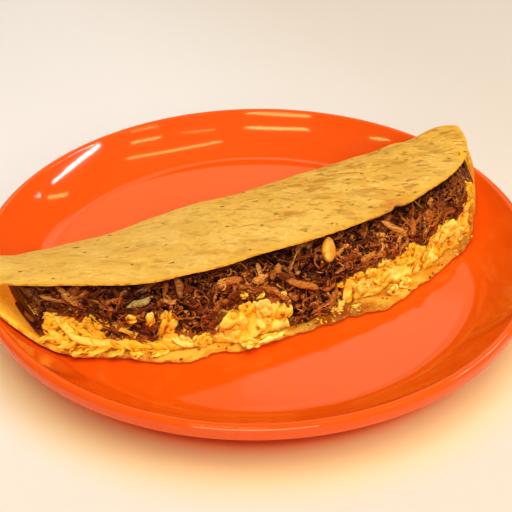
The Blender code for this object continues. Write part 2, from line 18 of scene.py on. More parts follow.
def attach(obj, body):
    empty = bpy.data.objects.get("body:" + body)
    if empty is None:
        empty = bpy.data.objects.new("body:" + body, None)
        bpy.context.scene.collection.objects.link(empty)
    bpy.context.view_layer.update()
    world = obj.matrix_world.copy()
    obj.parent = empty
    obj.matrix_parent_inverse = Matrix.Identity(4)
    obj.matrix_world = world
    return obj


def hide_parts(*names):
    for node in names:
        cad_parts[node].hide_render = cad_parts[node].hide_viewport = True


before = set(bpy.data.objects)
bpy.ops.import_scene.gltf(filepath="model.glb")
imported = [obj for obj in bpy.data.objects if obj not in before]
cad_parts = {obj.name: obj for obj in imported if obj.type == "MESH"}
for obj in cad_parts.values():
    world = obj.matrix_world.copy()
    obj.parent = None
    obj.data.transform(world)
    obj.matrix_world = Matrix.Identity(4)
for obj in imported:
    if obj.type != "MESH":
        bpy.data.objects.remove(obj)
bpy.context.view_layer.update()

# A millimetre in metres.
MM = 0.001

# The plate: a flat well, a hollow corner, a sloping wall and a round bead for a rim.
PLATE_RADIUS = 130
WELL_RADIUS = 100
WALL_SLOPE = radians(43)
CORNER_RADIUS = 17.6
BEAD_RADIUS = 2.3
# The wall is faintly hollow: its slope grows from foot to bead, in degrees.
WALL_HOLLOW = (36.28, 49)
WALL_HOLLOW_RADIUS = 95.4
RIM_ALLOWANCE = 0.05
LIP_DROP = 4.4
LIP_OUT = 0.8
LIP_RADIUS = 1.4
FLOOR_TOP = 5
WALL_THICKNESS = 3
FOOT_RADIUS = 88
FOOT_WIDTH = 4
PLATE_STEPS = 240

# The tortilla: one oval sheet, folded lengthwise into a lower and an upper flap.
SHEET_REACH = 137.2
SHEET_THICKNESS = 1.8
EDGE_THINNING = 0.45
CRISP_ANGLE = radians(50)
LOWER_FLAP = 106
UPPER_FLAP = 88.3
OVAL_SHOULDER = 3.2
OVAL_TIP = 0.667
TIP_SHARE = 0.995
FOLD_BACK = 44
FOLD_BEND = 15
FOLD_RADIUS = 7.5
TIP_FOLD_RADIUS = 2.8
FOLD_PRESSED_LEFT = (97, 121)
FOLD_PRESSED_RIGHT = (101, 123)
# Where the fold is thinner or thicker: place along X, amount, half width.
FOLD_SWELLS = ((-63, -1.5, 19), (-16, 0.9, 12))
BED_GAP = 0.75
BED_CORNER_RADIUS = 30
OVERHANG_RADIUS = 123
OVERHANG_FLATTENING = 0.062
# The stiff fold bridges the plate's corner at the right: place along X and height.
FOLD_LIFT = ((15, 0), (42, 1.2), (66, 1.8), (82, 2.8), (94, 3.8), (106, 6.5), (113, 7.8), (122, 5))
MOUTH_HEIGHT = 34.5
MOUTH_DROP = 5.5
FLAP_BULGE = 0.5
FLAP_FORESHORTENING = 0.97
STEEPEST_START = 0.6
RAGGED = 0.7
RIPPLE = 0.5
# Where a flap's edge stands out or draws in: place along X, amount, half width.
LOWER_BULGES = ((-88, -8.5, 22), (-48, -3, 10), (36, 4, 18), (100, 6.5, 16))
UPPER_BULGES = ((-122, -6, 16), (104, 3, 14))
# Where sauce soaks a flap's edge: place along X, amount, half width.
LOWER_STAINS = ((12, 1, 21), (-84, 0.5, 10), (98, 0.7, 22))
UPPER_STAINS = ((55, 1, 8),)
SHEET_STATIONS = 370
LOWER_ROWS = 62
FOLD_ROWS = 14
UPPER_ROWS = 54

# The filling: a cheese layer with a shredded meat layer on it, both as long as the mouth.
FILL_REACH_LEFT = 116
FILL_REACH_RIGHT = 120
FILL_SHOULDER_LEFT = 14
FILL_SHOULDER_RIGHT = 9
FILL_TIP = 0.55
FILL_DEPTH = 92
BARE_EDGE = 3
# Where more or less of the lower flap is left bare: place along X, amount, half width.
BARE_PATCHES = ((-54, 5, 17), (-48, -3, 10), (36, 4, 18))
BARE_MORE_RIGHT = 2.5
FILL_BACK = 1.7
# How far the filling's back draws out of the fold where that is thinner or pressed flat.
FILL_DRAWN_BY_FOLD = 0.8
FILL_DRAWN_AT_TIPS = 10.5
LAYER_GAP = 0.85
# How much thicker the sloping sheet is in plan: the upper flap, and the lower one on the wall.
FLAP_ALLOWANCE = 1.12
CLIMB_ALLOWANCE = 0.4
CHEESE_HEIGHT = 13.5
CHEESE_RISE = 2.5
CHEESE_SHARE_AT_FOLD = 0.42
# Where the cheese is low and meat comes down over it: start, end, drop and softness of the ends.
CHEESE_TROUGHS = ((-124, -112, 11, 4), (-86, -67, 7.8, 5), (-59, -43, 8, 3),
                  (-9, 14, 18, 6), (66, 69, 5, 3), (112, 124, 8, 8))
CHEESE_LEAN_LEFT = 10
CHEESE_LEAN_RIGHT = 4
CHEESE_NOSE = 1
CHEESE_UNEVEN = 1.3
MEAT_BULGE = 1.6
MEAT_UNEVEN = 1.1
MEAT_TUCK = 4
MEAT_LEAST = 2.5
CHEESE_LEAST = 1
KERNEL_X = 15
KERNEL_SHARES = (0.53, 1.03)
KERNEL_TURN = radians(22)
KERNEL_SIZE = (6.5, 4.6, 11.5)
KERNEL_STANDOFF = 3.95

# The way the tortilla was drawn across the griddle: toasting streaks run this way.
STREAK_TURN = radians(-40)


# ---- small helpers

def clamp(value, low=0, high=1):
    return min(max(value, low), high)


def ease(low, high, value):
    """Smoothly from 0 where the value is `low` to 1 where it is `high`."""
    t = clamp((value - low) / (high - low))
    return t * t * (3 - 2 * t)


def blend(a, b, t):
    return a + (b - a) * t


def bell(x, centre, half_width):
    return exp(-((x - centre) / half_width) ** 2)


def bells(x, rows):
    """The sum of bells that are given as place, amount and half width."""
    return sum(amount * bell(x, centre, half_width) for centre, amount, half_width in rows)


def course(points, x):
    """A smooth line through points given as place and value, level beyond its ends."""
    if x <= points[0][0]:
        return points[0][1]
    if x >= points[-1][0]:
        return points[-1][1]
    k = max(j for j, point in enumerate(points) if point[0] <= x)
    near, far = points[k], points[k + 1]
    before, after = points[max(k - 1, 0)], points[min(k + 2, len(points) - 1)]
    span = far[0] - near[0]
    t = (x - near[0]) / span
    leave = (far[1] - before[1]) / (far[0] - before[0]) * span
    arrive = (after[1] - near[1]) / (after[0] - near[0]) * span
    line = blend(near[1], far[1], t * t * (3 - 2 * t))
    return line + t * (1 - t) * ((1 - t) * leave - t * arrive)


def ripple(x, y, size, layer=0):
    """Smooth unevenness between about -1 and 1 whose waves are `size` long."""
    return noise(Vector((x / size, y / size, layer)))


def along(start, end, count, first=0, last=1):
    """Shares from `first` to `last`, spread evenly, applied between two numbers."""
    return [blend(start, end, blend(first, last, k / (count - 1))) for k in range(count)]


def drawn(rng, *spans):
    """A number for each entry: between the two of a pair, one of a list, or the entry itself."""
    for span in spans:
        if isinstance(span, tuple):
            span = rng.uniform(*span)
        yield rng.choice(span) if isinstance(span, list) else span


def spread(rng, start, end, count):
    """Places between two ends, one after the other but loosely."""
    for k in range(count):
        yield blend(start, end, (k + rng.random()) / count)


def placed(name, data):
    """A new object in the scene."""
    obj = bpy.data.objects.new(name, data)
    bpy.context.scene.collection.objects.link(obj)
    return obj


@cache
def ball(subdivisions):
    """Points on a unit ball and the triangles between them."""
    bm = bmesh.new()
    bmesh.ops.create_icosphere(bm, subdivisions=subdivisions, radius=1.0)
    points = [vert.co.copy() for vert in bm.verts]
    faces = [tuple(vert.index for vert in face.verts) for face in bm.faces]
    bm.free()
    return points, faces


class Heap:
    """Vertices, faces and per-vertex values of one piece, gathered bit by bit."""

    def __init__(self, *values):
        self.points = []
        self.faces = []
        self.values = {name: [] for name in values}

    def add(self, points, values):
        """Points and what they carry: a list of values, or one number for them all."""
        self.points += [tuple(point) for point in points]
        for name, held in self.values.items():
            given = values.get(name, 0)
            held += given if isinstance(given, list) else [given] * len(points)

    def grid(self, rows, closed=False, **values):
        """A skin over rows of equally many points."""
        base, count = len(self.points), len(rows[0])
        self.add([point for row in rows for point in row], values)
        for k in range(len(rows) - 1):
            for j in range(count if closed else count - 1):
                a = base + k * count + j
                b = base + k * count + (j + 1) % count
                self.faces.append((a, b, b + count, a + count))
        return base, count

    def tube(self, rings, **values):
        """A skin round closed rings, with a flat end at each side."""
        base, count = self.grid(rings, closed=True, **values)
        last = base + (len(rings) - 1) * count
        self.faces.append(tuple(range(base + count - 1, base - 1, -1)))
        self.faces.append(tuple(range(last, last + count)))

    def lump(self, points, detail, **values):
        """The points of a ball after each was moved, with the ball's faces."""
        base = len(self.points)
        self.faces += [tuple(base + k for k in face) for face in ball(detail)[1]]
        self.add(points, values)

    def piece(self, name, slot, *finishes, replaces=None):
        """The finished object, riding on the body."""
        mesh = bpy.data.meshes.new(name)
        mesh.from_pydata([[c * MM for c in point] for point in self.points], [], self.faces)
        for value, held in self.values.items():
            mesh.attributes.new(value, "FLOAT", "POINT").data.foreach_set("value", held)
        mesh.shade_smooth()
        for finish in finishes:
            mesh.materials.append(finish)
        obj = placed(name, mesh)
        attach(obj, "root")
        if replaces:
            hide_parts(replaces)
        return obj


# ---- finishes

class Value:
    """A shader value. Sums and products with numbers or other values add their nodes."""

    def __init__(self, finish, socket):
        self.finish = finish
        self.socket = socket

    def maths(self, operation, *terms):
        return self.finish.node("ShaderNodeMath", {"operation": operation}, dict(enumerate(terms)))

    def __add__(self, other):
        return self.maths("ADD", self, other)

    def __sub__(self, other):
        return self.maths("SUBTRACT", self, other)

    def __rsub__(self, other):
        return self.maths("SUBTRACT", other, self)

    def __mul__(self, other):
        return self.maths("MULTIPLY", self, other)

    __radd__ = __add__
    __rmul__ = __mul__

    def clamped(self):
        return self.finish.node("ShaderNodeClamp", {}, {0: self})

    def ramp(self, low, high, start=0, end=1):
        """Smoothly from `start` where this value is `low` to `end` where it is `high`."""
        sockets = {"Value": self, "From Min": low, "From Max": high, "To Min": start, "To Max": end}
        return self.finish.node("ShaderNodeMapRange", {"interpolation_type": "SMOOTHSTEP"}, sockets)


class Finish:
    """A material that is put together node by node. Its places are in millimetres."""

    def __init__(self, name, **constants):
        self.material = bpy.data.materials.new(name)
        self.material.use_nodes = True
        self.tree = self.material.node_tree
        self.shader = self.tree.nodes["Principled BSDF"]
        self.feed(self.shader, constants)
        metres = self.node("ShaderNodeTexCoord", {}, {}, "Object")
        sockets = {0: metres, "Scale": 1 / MM}
        self.place = self.node("ShaderNodeVectorMath", {"operation": "SCALE"}, sockets)

    def node(self, kind, settings, sockets, output=0):
        made = self.tree.nodes.new(kind)
        for name, value in settings.items():
            setattr(made, name, value)
        self.feed(made, sockets)
        return Value(self, made.outputs[output])

    def feed(self, made, sockets):
        """Set a node's sockets to constants, or link them to varying values."""
        for key, value in sockets.items():
            socket = made.inputs[key.replace("_", " ") if isinstance(key, str) else key]
            if isinstance(value, Value):
                self.tree.links.new(value.socket, socket)
            else:
                socket.default_value = value

    def turned(self, size, turn):
        """Places measured in a turned grid whose cells have the given size."""
        size = size if isinstance(size, tuple) else (size, size, size)
        sockets = {"Vector": self.place, "Rotation": (0, 0, turn), "Scale": size}
        return self.node("ShaderNodeMapping", {"vector_type": "TEXTURE"}, sockets)

    def cloud(self, size, detail=3, roughness=0.55, turn=0, twist=0):
        """Cloudy unevenness between 0 and 1, with clouds of the given size."""
        sockets = {"Vector": self.turned(size, turn), "Scale": 1, "Detail": detail}
        sockets.update({"Roughness": roughness, "Distortion": twist})
        return self.node("ShaderNodeTexNoise", {}, sockets)

    def spots(self, size, turn):
        """Distance to the nearest of many scattered points."""
        sockets = {"Vector": self.turned(size, turn), "Scale": 1}
        return self.node("ShaderNodeTexVoronoi", {}, sockets)

    def carried(self, name):
        """A value that each point of the piece carries."""
        return self.node("ShaderNodeAttribute", {"attribute_name": name}, {}, "Fac")

    def axis(self, letter):
        return self.node("ShaderNodeSeparateXYZ", {}, {0: self.place}, letter)

    def mix(self, colour, *layers):
        """A colour with others laid over it, each given with its share."""
        for over, share in layers:
            under, over = ((*c, 1) if isinstance(c, tuple) else c for c in (colour, over))
            sockets = {0: share, 6: under, 7: over}
            colour = self.node("ShaderNodeMix", {"data_type": "RGBA"}, sockets, 2)
        return colour

    def finished(self, colour, roughness, height=None, distance=0, strength=1, **varying):
        """The material, with a varying colour and roughness, a relief and more of its sockets."""
        varying.update(Base_Color=colour, Roughness=roughness)
        if height:
            relief = {"Height": height, "Distance": distance * MM, "Strength": strength}
            varying["Normal"] = self.node("ShaderNodeBump", {}, relief)
        self.feed(self.shader, varying)
        return self.material


def glaze_finish():
    """Moulded orange melamine with a clear gloss and faint wear."""
    glaze = Finish("orange_glaze", IOR=1.4)
    broad = glaze.cloud(60, 2)
    fine = glaze.cloud(0.9, 2)
    wear = glaze.cloud((34, 0.7, 5), 3, 0.6, 0.6).ramp(0.62, 0.74)
    colour = glaze.mix(
        (0.9, 0.09, 0.002),
        ((0.95, 0.106, 0.003), broad),
        ((1, 0.19, 0.03), wear * 0.2))
    return glaze.finished(colour, 0.058 + fine * 0.02 + wear * 0.1, fine * 0.3 + broad, 0.04, 0.2)


def toasted_finish():
    """The outer face: golden corn, mottled and dashed by the griddle, with burnt specks."""
    corn = Finish("toasted_corn", Specular_IOR_Level=0.3)
    broad = corn.cloud(38, 2)
    patch = corn.cloud((18, 10, 12), 3, 0.6, STREAK_TURN, 0.6)
    dash = corn.cloud((10.5, 6, 6.4), 2.5, 0.5, STREAK_TURN, 0.5)
    short = corn.cloud((6, 3.4, 4), 2, 0.5, STREAK_TURN, 0.3)
    mottle = corn.cloud(2.6, 3, 0.6)
    grain = corn.cloud(0.5, 2)
    rim, stain = corn.carried("rim"), corn.carried("stain")
    marked = corn.axis("X").ramp(-90, 70, 0.45, 1)
    toast = patch.ramp(0.43, 0.6) * marked
    speck = (corn.spots((8, 6, 6), STREAK_TURN) + (dash - 0.5) * 0.4).ramp(0.1, 0.19, 1, 0)
    burnt = speck * corn.cloud((8, 6, 6), 2).ramp(0.49, 0.57)
    colour = corn.mix(
        (1, 0.625, 0.138),
        ((1, 0.535, 0.058), broad.ramp(0.4, 0.62) * 0.4 + marked * 0.55),
        ((1, 0.76, 0.2), mottle.ramp(0.52, 0.66) * 0.7),
        ((0.78, 0.37, 0.024), toast * 0.6),
        ((0.64, 0.25, 0.012), dash.ramp(0.53, 0.65) * (marked * 0.45 + toast * 0.3)),
        ((0.56, 0.2, 0.01), short.ramp(0.56, 0.68) * marked * 0.75),
        ((1, 0.5, 0.02), rim * (0.2 + mottle * 0.9)),
        ((0.17, 0.055, 0.004), burnt * 0.85),
        ((0.72, 0.21, 0.01), stain * (0.45 + mottle.ramp(0.4, 0.6) * 0.55)))
    height = mottle * 0.9 + grain * 0.35 - short * 0.4 - burnt * 0.8
    return corn.finished(colour, 0.68 - toast * 0.1 - stain * 0.25, height, 0.5)


def soft_corn_finish():
    """The inner face: moist corn, soaked with orange fat and with sauce where the meat drips."""
    corn = Finish("soft_corn", Specular_IOR_Level=0.06, Emission_Strength=0.34)
    patch = corn.cloud((9, 5, 7), 4, 0.6)
    fine = corn.cloud(1.5, 3, 0.6)
    dash = corn.cloud((2.8, 1.3, 1.5), 3, 0.6)
    grain = corn.cloud(0.5, 2)
    soaked = patch.ramp(0.42, 0.62)
    sauce = corn.carried("stain")
    colour = corn.mix(
        (0.93, 0.5, 0.045),
        ((0.84, 0.29, 0.008), soaked),
        ((1, 0.72, 0.16), fine.ramp(0.55, 0.72) * 0.55),
        ((0.46, 0.2, 0.014), dash.ramp(0.58, 0.72) * 0.55),
        ((0.3, 0.05, 0.006), (sauce * (0.5 + patch)).clamped() * fine.ramp(0.25, 0.5)))
    # Painted light: the inner face at the thin left tip glows orange by emission, which brightens
    # it where the upper flap shades it.
    painted_glow = corn.axis("X").ramp(-100, -114)
    painted_glow = corn.mix((0, 0, 0), ((1, 0.34, 0.012), painted_glow * (0.7 + fine * 0.5)))
    roughness = 0.48 - sauce * 0.25 - soaked * 0.12
    return corn.finished(colour, roughness, fine + grain * 0.4, 0.3, 0.8, Emission_Color=painted_glow)


def edge_finish():
    """The torn-looking edge of the sheet, a little drier and browner."""
    corn = Finish("corn_edge", Specular_IOR_Level=0.25)
    patch = corn.cloud(4, 3, 0.6)
    grain = corn.cloud(0.6, 3)
    colour = corn.mix(
        (0.95, 0.53, 0.045),
        ((0.66, 0.22, 0.012), patch.ramp(0.46, 0.62)),
        ((0.35, 0.07, 0.008), corn.carried("stain") * 0.8))
    return corn.finished(colour, 0.5 + grain * 0.2, grain, 0.3, 0.8)


def curd_finish():
    """Melted curd cheese: cream on the lumps, orange fat and a little sauce in the creases."""
    curd = Finish("melted_curd", Specular_IOR_Level=0.08, Coat_Weight=0.1, Coat_Roughness=0.15)
    proud, tone, sauce = (curd.carried(name) for name in ("proud", "tone", "sauce"))
    patch = curd.cloud(6, 3, 0.6)
    fine = curd.cloud(1.5, 3, 0.6)
    grain = curd.cloud(0.45, 2)
    height = (proud + (fine - 0.5) * 0.3 + (patch - 0.5) * 0.5).clamped()
    colour = curd.mix(
        (0.44, 0.085, 0.003),
        ((1, 0.45, 0.008), height.ramp(0.05, 0.36)),
        ((1, 0.64, 0.032), height.ramp(0.32, 0.8)),
        ((1, 0.82, 0.18), tone.clamped() * height.ramp(0.3, 0.8)),
        ((0.38, 0.06, 0.004), (sauce * (0.6 + fine * 0.9) - proud * 0.25).ramp(0.3, 0.66)))
    return curd.finished(colour, 0.3 + height * 0.18, fine + grain * 0.35, 0.35, 0.8)


def meat_finish():
    """Braised shreds in a dark red sauce, wet all over."""
    meat = Finish("braised_meat", Specular_IOR_Level=0.05, Coat_Roughness=0.1)
    tint, light = meat.carried("tint"), meat.carried("light")
    fibre = meat.cloud((2.2, 0.7, 0.7), 3, 0.6)
    grain = meat.cloud(0.35, 2)
    colour = meat.mix(
        (0.06, 0.009, 0.002),
        ((0.3, 0.05, 0.005), tint.ramp(0, 0.45)),
        ((0.62, 0.168, 0.018), tint.ramp(0.4, 0.8)),
        ((0.88, 0.38, 0.06), tint.ramp(0.82, 0.97)),
        ((0.6, 0.42, 0.11), tint.ramp(1.04, 1.12)),
        ((0.07, 0.012, 0.004), fibre.ramp(0.55, 0.35, 0, 0.65)))
    # Painted shade: the colour goes to near black where the carried light is low, in the gaps, far
    # in under the upper flap and at the ends.
    colour = meat.mix((0.008, 0.001, 0.0005), (colour, light))
    gloss = fibre.ramp(0.5, 0.62) * light.clamped()
    roughness = 0.26 + grain * 0.22
    return meat.finished(colour, roughness, fibre + grain * 0.5, 0.3, 0.9, Coat_Weight=gloss)


def kernel_finish():
    """A ripe yellow kernel with a thin wet skin."""
    grain = Finish("yellow_kernel", Specular_IOR_Level=0.3, Coat_Weight=0.2, Coat_Roughness=0.1)
    fine = grain.cloud(0.7, 2)
    colour = grain.mix(
        (0.8, 0.3, 0.01),
        ((0.97, 0.5, 0.035), grain.cloud(3, 2).ramp(0.4, 0.65)),
        # Painted shade: the value named foot darkens the kernel's upper end, which goes in under
        # the upper flap.
        ((0.55, 0.16, 0.02), grain.carried("foot")))
    return grain.finished(colour, 0.25 + fine * 0.15, fine, 0.1, 0.5)


def table_finish():
    """A pale, plain table, painted warmer towards the front as shade, with painted glow and shadow
    round the plate.
    """
    table = Finish("pale_table", Specular_IOR_Level=0.2)
    away = table.node("ShaderNodeVectorMath", {"operation": "LENGTH"}, {0: table.place}, "Value")
    colour = table.mix(
        (0.95, 0.9, 0.88),
        ((0.97, 0.92, 0.9), table.cloud(350, 2)),
        # Painted falloff of light: darker and warmer towards the right and towards the front.
        ((0.85, 0.76, 0.67), table.axis("X").ramp(0, 240)),
        ((0.865, 0.745, 0.61), table.axis("Y").ramp(150, -240)),
        # Painted light and shade round the plate: a warm glow of light bounced off the plate, a
        # deeper orange ring, then a dark red painted shadow right under the rim.
        ((1, 0.77, 0.3), away.ramp(154, 126, 0, 0.8)),
        ((1, 0.34, 0.1), away.ramp(122, 114, 0, 0.9)),
        ((0.62, 0.07, 0.02), away.ramp(118, 113, 0, 0.85)))
    return table.finished(colour, 0.55)


# ---- the plate

def wall_rise(radius, corner_radius=CORNER_RADIUS):
    """Height above the well's floor of a line that bends up into the plate's wall."""
    widening = (corner_radius - CORNER_RADIUS) * tan(WALL_SLOPE / 2)
    run = max(radius - WELL_RADIUS + widening, 0)
    corner_run = corner_radius * sin(WALL_SLOPE)
    if run <= corner_run:
        return corner_radius - sqrt(corner_radius ** 2 - run ** 2)
    corner_rise = corner_radius * (1 - cos(WALL_SLOPE))
    return corner_rise + (run - corner_run) * tan(WALL_SLOPE)


def arc(centre, radius, start, end, count):
    """Points of an arc in the profile's plane, from one angle in degrees to another."""
    x, z = centre
    angles = [radians(angle) for angle in along(start, end, count)]
    return [(x + radius * cos(angle), z + radius * sin(angle)) for angle in angles]


def plate_profile():
    slope = degrees(WALL_SLOPE)
    corner = (WELL_RADIUS, FLOOR_TOP + CORNER_RADIUS)
    bead_x = PLATE_RADIUS - BEAD_RADIUS - RIM_ALLOWANCE
    tangent_x = bead_x - BEAD_RADIUS * sin(WALL_SLOPE)
    bead = (bead_x, FLOOR_TOP + wall_rise(tangent_x) - BEAD_RADIUS * cos(WALL_SLOPE))
    underside = FLOOR_TOP - WALL_THICKNESS
    profile = [(radius, FLOOR_TOP) for radius in along(2, WELL_RADIUS - 1, 12)]
    profile += arc(corner, CORNER_RADIUS, -90, WALL_HOLLOW[0] - 90, 24)[:-1]
    foot = radians(WALL_HOLLOW[0])
    hollow = (WELL_RADIUS + (CORNER_RADIUS - WALL_HOLLOW_RADIUS) * sin(foot),
              FLOOR_TOP + CORNER_RADIUS + (WALL_HOLLOW_RADIUS - CORNER_RADIUS) * cos(foot))
    profile += arc(hollow, WALL_HOLLOW_RADIUS, WALL_HOLLOW[0] - 90, WALL_HOLLOW[1] - 90, 40)
    profile += arc(bead, BEAD_RADIUS, 90 + WALL_HOLLOW[1], 0, 18)[1:]
    # The outer side of the lip drops a little below the bead and turns in under it.
    lip = (bead_x + LIP_OUT, bead[1] - LIP_DROP + LIP_RADIUS)
    profile += arc(lip, LIP_RADIUS, 0, -150, 10)
    profile += arc(corner, CORNER_RADIUS + WALL_THICKNESS, slope - 90, -90, 12)
    profile += [(FOOT_RADIUS + FOOT_WIDTH, underside), (FOOT_RADIUS + 0.75 * FOOT_WIDTH, 0)]
    profile += [(FOOT_RADIUS + 0.25 * FOOT_WIDTH, 0), (FOOT_RADIUS, underside)]
    return profile + [(2, underside)]


def make_plate(finish):
    plate = Heap()
    turns = [tau * k / PLATE_STEPS for k in range(PLATE_STEPS)]
    plate.tube([[(radius * cos(turn), radius * sin(turn), height) for turn in turns]
                for radius, height in plate_profile()])
    return plate.piece("moulded_plate", "orange_glaze", finish, replaces="plate")


# ---- the tortilla's form

def tip_share(x):
    """0 in the middle of the sheet and 1 at either tip."""
    return min(abs(x) / SHEET_REACH, 1)


def bed_height(x, y):
    """Height of the tortilla's underside: it follows the plate and reaches over the rim."""
    radius = hypot(x, y)
    beyond = max(radius - OVERHANG_RADIUS, 0)
    rise = wall_rise(min(radius, OVERHANG_RADIUS), BED_CORNER_RADIUS)
    rise += tan(WALL_SLOPE) * beyond - OVERHANG_FLATTENING * beyond ** 2 / 2
    lift = course(FOLD_LIFT, x) * ease(-30, 35, y)
    rise = (rise + lift + hypot(rise - lift, 0.3 * lift)) / 2
    return FLOOR_TOP + BED_GAP + rise


@cache
def fold_radius(x):
    """The fold is round in the middle and pressed nearly flat at the tips."""
    pressed = FOLD_PRESSED_RIGHT if x > 0 else FOLD_PRESSED_LEFT
    round_fold = FOLD_RADIUS + bells(x, FOLD_SWELLS)
    return blend(round_fold, TIP_FOLD_RADIUS, ease(*pressed, abs(x)))


@cache
def fold_axis(x):
    """Y and Z of the middle of the fold at station x."""
    radius = fold_radius(x)
    y = FOLD_BACK - radius - FOLD_BEND * tip_share(x) ** 6
    return y, bed_height(x, y) + radius


def reach(x, flap, bulges, unevenness):
    """Length of a flap at station x, measured from the fold's rearmost line."""
    oval = (1 - tip_share(x) ** OVAL_SHOULDER) ** OVAL_TIP
    return oval * (flap + bells(x, bulges) + unevenness)


@cache
def lower_reach(x):
    ragged = 2 * RAGGED * (ripple(x, 0, 9, 1.3) + ripple(x, 0, 4, 2.3))
    ragged += 0.35 * ripple(x, 0, 1.6, 3.3)
    return reach(x, LOWER_FLAP, LOWER_BULGES, ragged)


@cache
def upper_reach(x):
    ragged = RAGGED * ripple(x, 0, 14, 5.1) + 0.3 * ripple(x, 0, 3, 6.1)
    notch = 2 * bell(x, 56, 2.2)
    return reach(x, UPPER_FLAP, UPPER_BULGES, ragged - notch)


@cache
def mouth_height(x):
    """Height of the upper flap's front edge."""
    return FLOOR_TOP + MOUTH_HEIGHT - MOUTH_DROP * ease(95, SHEET_REACH, abs(x))


@cache
def upper_start(x):
    """Angle, Y and Z at which the fold passes into the upper flap."""
    y, z = fold_axis(x)
    radius = fold_radius(x)
    rise = mouth_height(x) - z - radius
    run = max(upper_reach(x) * FLAP_FORESHORTENING, 6)
    slope = clamp((1 + FLAP_BULGE) * rise / run, 0, STEEPEST_START)
    angle = pi / 2 - atan(slope)
    return angle, y + radius * cos(angle), z + radius * sin(angle)


@cache
def upper_edge(x):
    """Y of the upper flap's front edge."""
    angle, start_y, _ = upper_start(x)
    turn = min(fold_radius(x) * angle, 0.5 * upper_reach(x))
    return start_y - (upper_reach(x) - turn) * FLAP_FORESHORTENING


@cache
def lower_edge(x):
    """Y of the lower flap's front edge."""
    turn = min(fold_radius(x) * pi / 2, 0.5 * lower_reach(x))
    return fold_axis(x)[0] - (lower_reach(x) - turn)


def upper_height(x, y):
    """Height of the upper flap's outer face over a point in plan."""
    _, start_y, start_z = upper_start(x)
    run = max(start_y - y, 0)
    share = min(run / max(start_y - upper_edge(x), 1), 1.3)
    rise = (mouth_height(x) - start_z) * share * (1 + FLAP_BULGE * (1 - share))
    settle = ease(0, 20, run)
    return start_z + rise + settle * RIPPLE * ripple(x, y, 26, 8)


def sheet_section(x):
    """The outer line of the folded sheet at station x, from lower edge round to upper edge."""
    axis_y, axis_z = fold_axis(x)
    radius = fold_radius(x)
    angle, start_y, _ = upper_start(x)
    line = [(y, bed_height(x, y)) for y in along(lower_edge(x), axis_y, LOWER_ROWS + 1)[:-1]]
    for turn in along(-pi / 2, angle, FOLD_ROWS + 1):
        y = axis_y + radius * cos(turn)
        line.append((y, max(axis_z + radius * sin(turn), bed_height(x, y))))
    line += [(y, upper_height(x, y)) for y in along(start_y, upper_edge(x), UPPER_ROWS + 1)[1:]]
    return line


def blister(x, y, z):
    """Small hollows and puffs of the baked surface, never above the smooth sheet."""
    place = Vector((x, y, z))
    sizes = ((11, 0.3), (4.5, 0.16), (1.8, 0.07))
    puff = sum(noise(place / size) * share for size, share in sizes)
    return (puff - 0.32) * 0.8


def stain_amount(x, upper):
    """Where sauce has soaked the sheet near its edge."""
    return min(1, bells(x, UPPER_STAINS if upper else LOWER_STAINS))


def make_tortilla(outer, inner, edge):
    sheet = Heap("rim", "stain")
    rows, rims, stains, bodies = [], [], [], []
    for k in range(SHEET_STATIONS + 1):
        x = SHEET_REACH * TIP_SHARE * sin((k / SHEET_STATIONS - 0.5) * pi)
        section = sheet_section(x)
        row = []
        for j, (y, z) in enumerate(section):
            before, after = section[max(j - 1, 0)], section[min(j + 1, len(section) - 1)]
            run, rise = after[0] - before[0], after[1] - before[1]
            sink = blister(x, y, z) / (hypot(run, rise) or 1)
            row.append((x, y + rise * sink, z - run * sink))
            # How near this point is to an edge, and which flap it lies on.
            low = y - section[0][0] if j <= LOWER_ROWS else SHEET_REACH
            high = y - section[-1][0] if j >= len(section) - UPPER_ROWS else SHEET_REACH
            nearest = max(min(low, high, (SHEET_REACH - abs(x)) * 0.7), 0)
            rims.append(1 - ease(0.5, 5, nearest))
            upper = j > LOWER_ROWS + FOLD_ROWS / 2
            fade = 1 - ease(2, 10, high) if upper else 1 - ease(2, 16, low)
            stains.append(stain_amount(x, upper) * fade)
            bodies.append(blend(EDGE_THINNING, 1, ease(0, 2.2, nearest)))
        rows.append(row)
    sheet.grid(rows, rim=rims, stain=stains)
    finishes = (outer, inner, edge)
    tortilla = sheet.piece("folded_tortilla", "corn_tortilla", *finishes, replaces="tortilla")
    body = tortilla.vertex_groups.new(name="body")
    for index, weight in enumerate(bodies):
        body.add([index], weight, "REPLACE")
    thickness = tortilla.modifiers.new("thickness", "SOLIDIFY")
    thickness.thickness = SHEET_THICKNESS * MM
    thickness.offset = -1
    thickness.vertex_group = "body"
    thickness.material_offset = 1
    thickness.material_offset_rim = 2
    tortilla.modifiers.new("crisp_edge", "EDGE_SPLIT").split_angle = CRISP_ANGLE
    return tortilla


# ---- the filling's form

@cache
def fill_front(x):
    """Y of the filling's foot: just inside the lower flap's edge, rounded off at both ends."""
    reach_there, shoulder = FILL_REACH_RIGHT, FILL_SHOULDER_RIGHT
    if x < 0:
        reach_there, shoulder = FILL_REACH_LEFT, FILL_SHOULDER_LEFT
    share = min(abs(x) / reach_there, 1)
    oval = fold_axis(x)[0] - FILL_DEPTH * (1 - share ** shoulder) ** FILL_TIP
    bare = BARE_EDGE + bells(x, BARE_PATCHES) + BARE_MORE_RIGHT * ease(-30, 10, x)
    return max(oval, lower_edge(x) + bare)


@cache
def fill_rear(x):
    """Y of the filling's back, drawn out of the fold where that is thin or pressed flat."""
    forward = FILL_DRAWN_BY_FOLD * max(FOLD_RADIUS - fold_radius(x), 0)
    forward += FILL_DRAWN_AT_TIPS * ease(*FOLD_PRESSED_RIGHT, abs(x))
    return fold_axis(x)[0] + FILL_BACK - forward


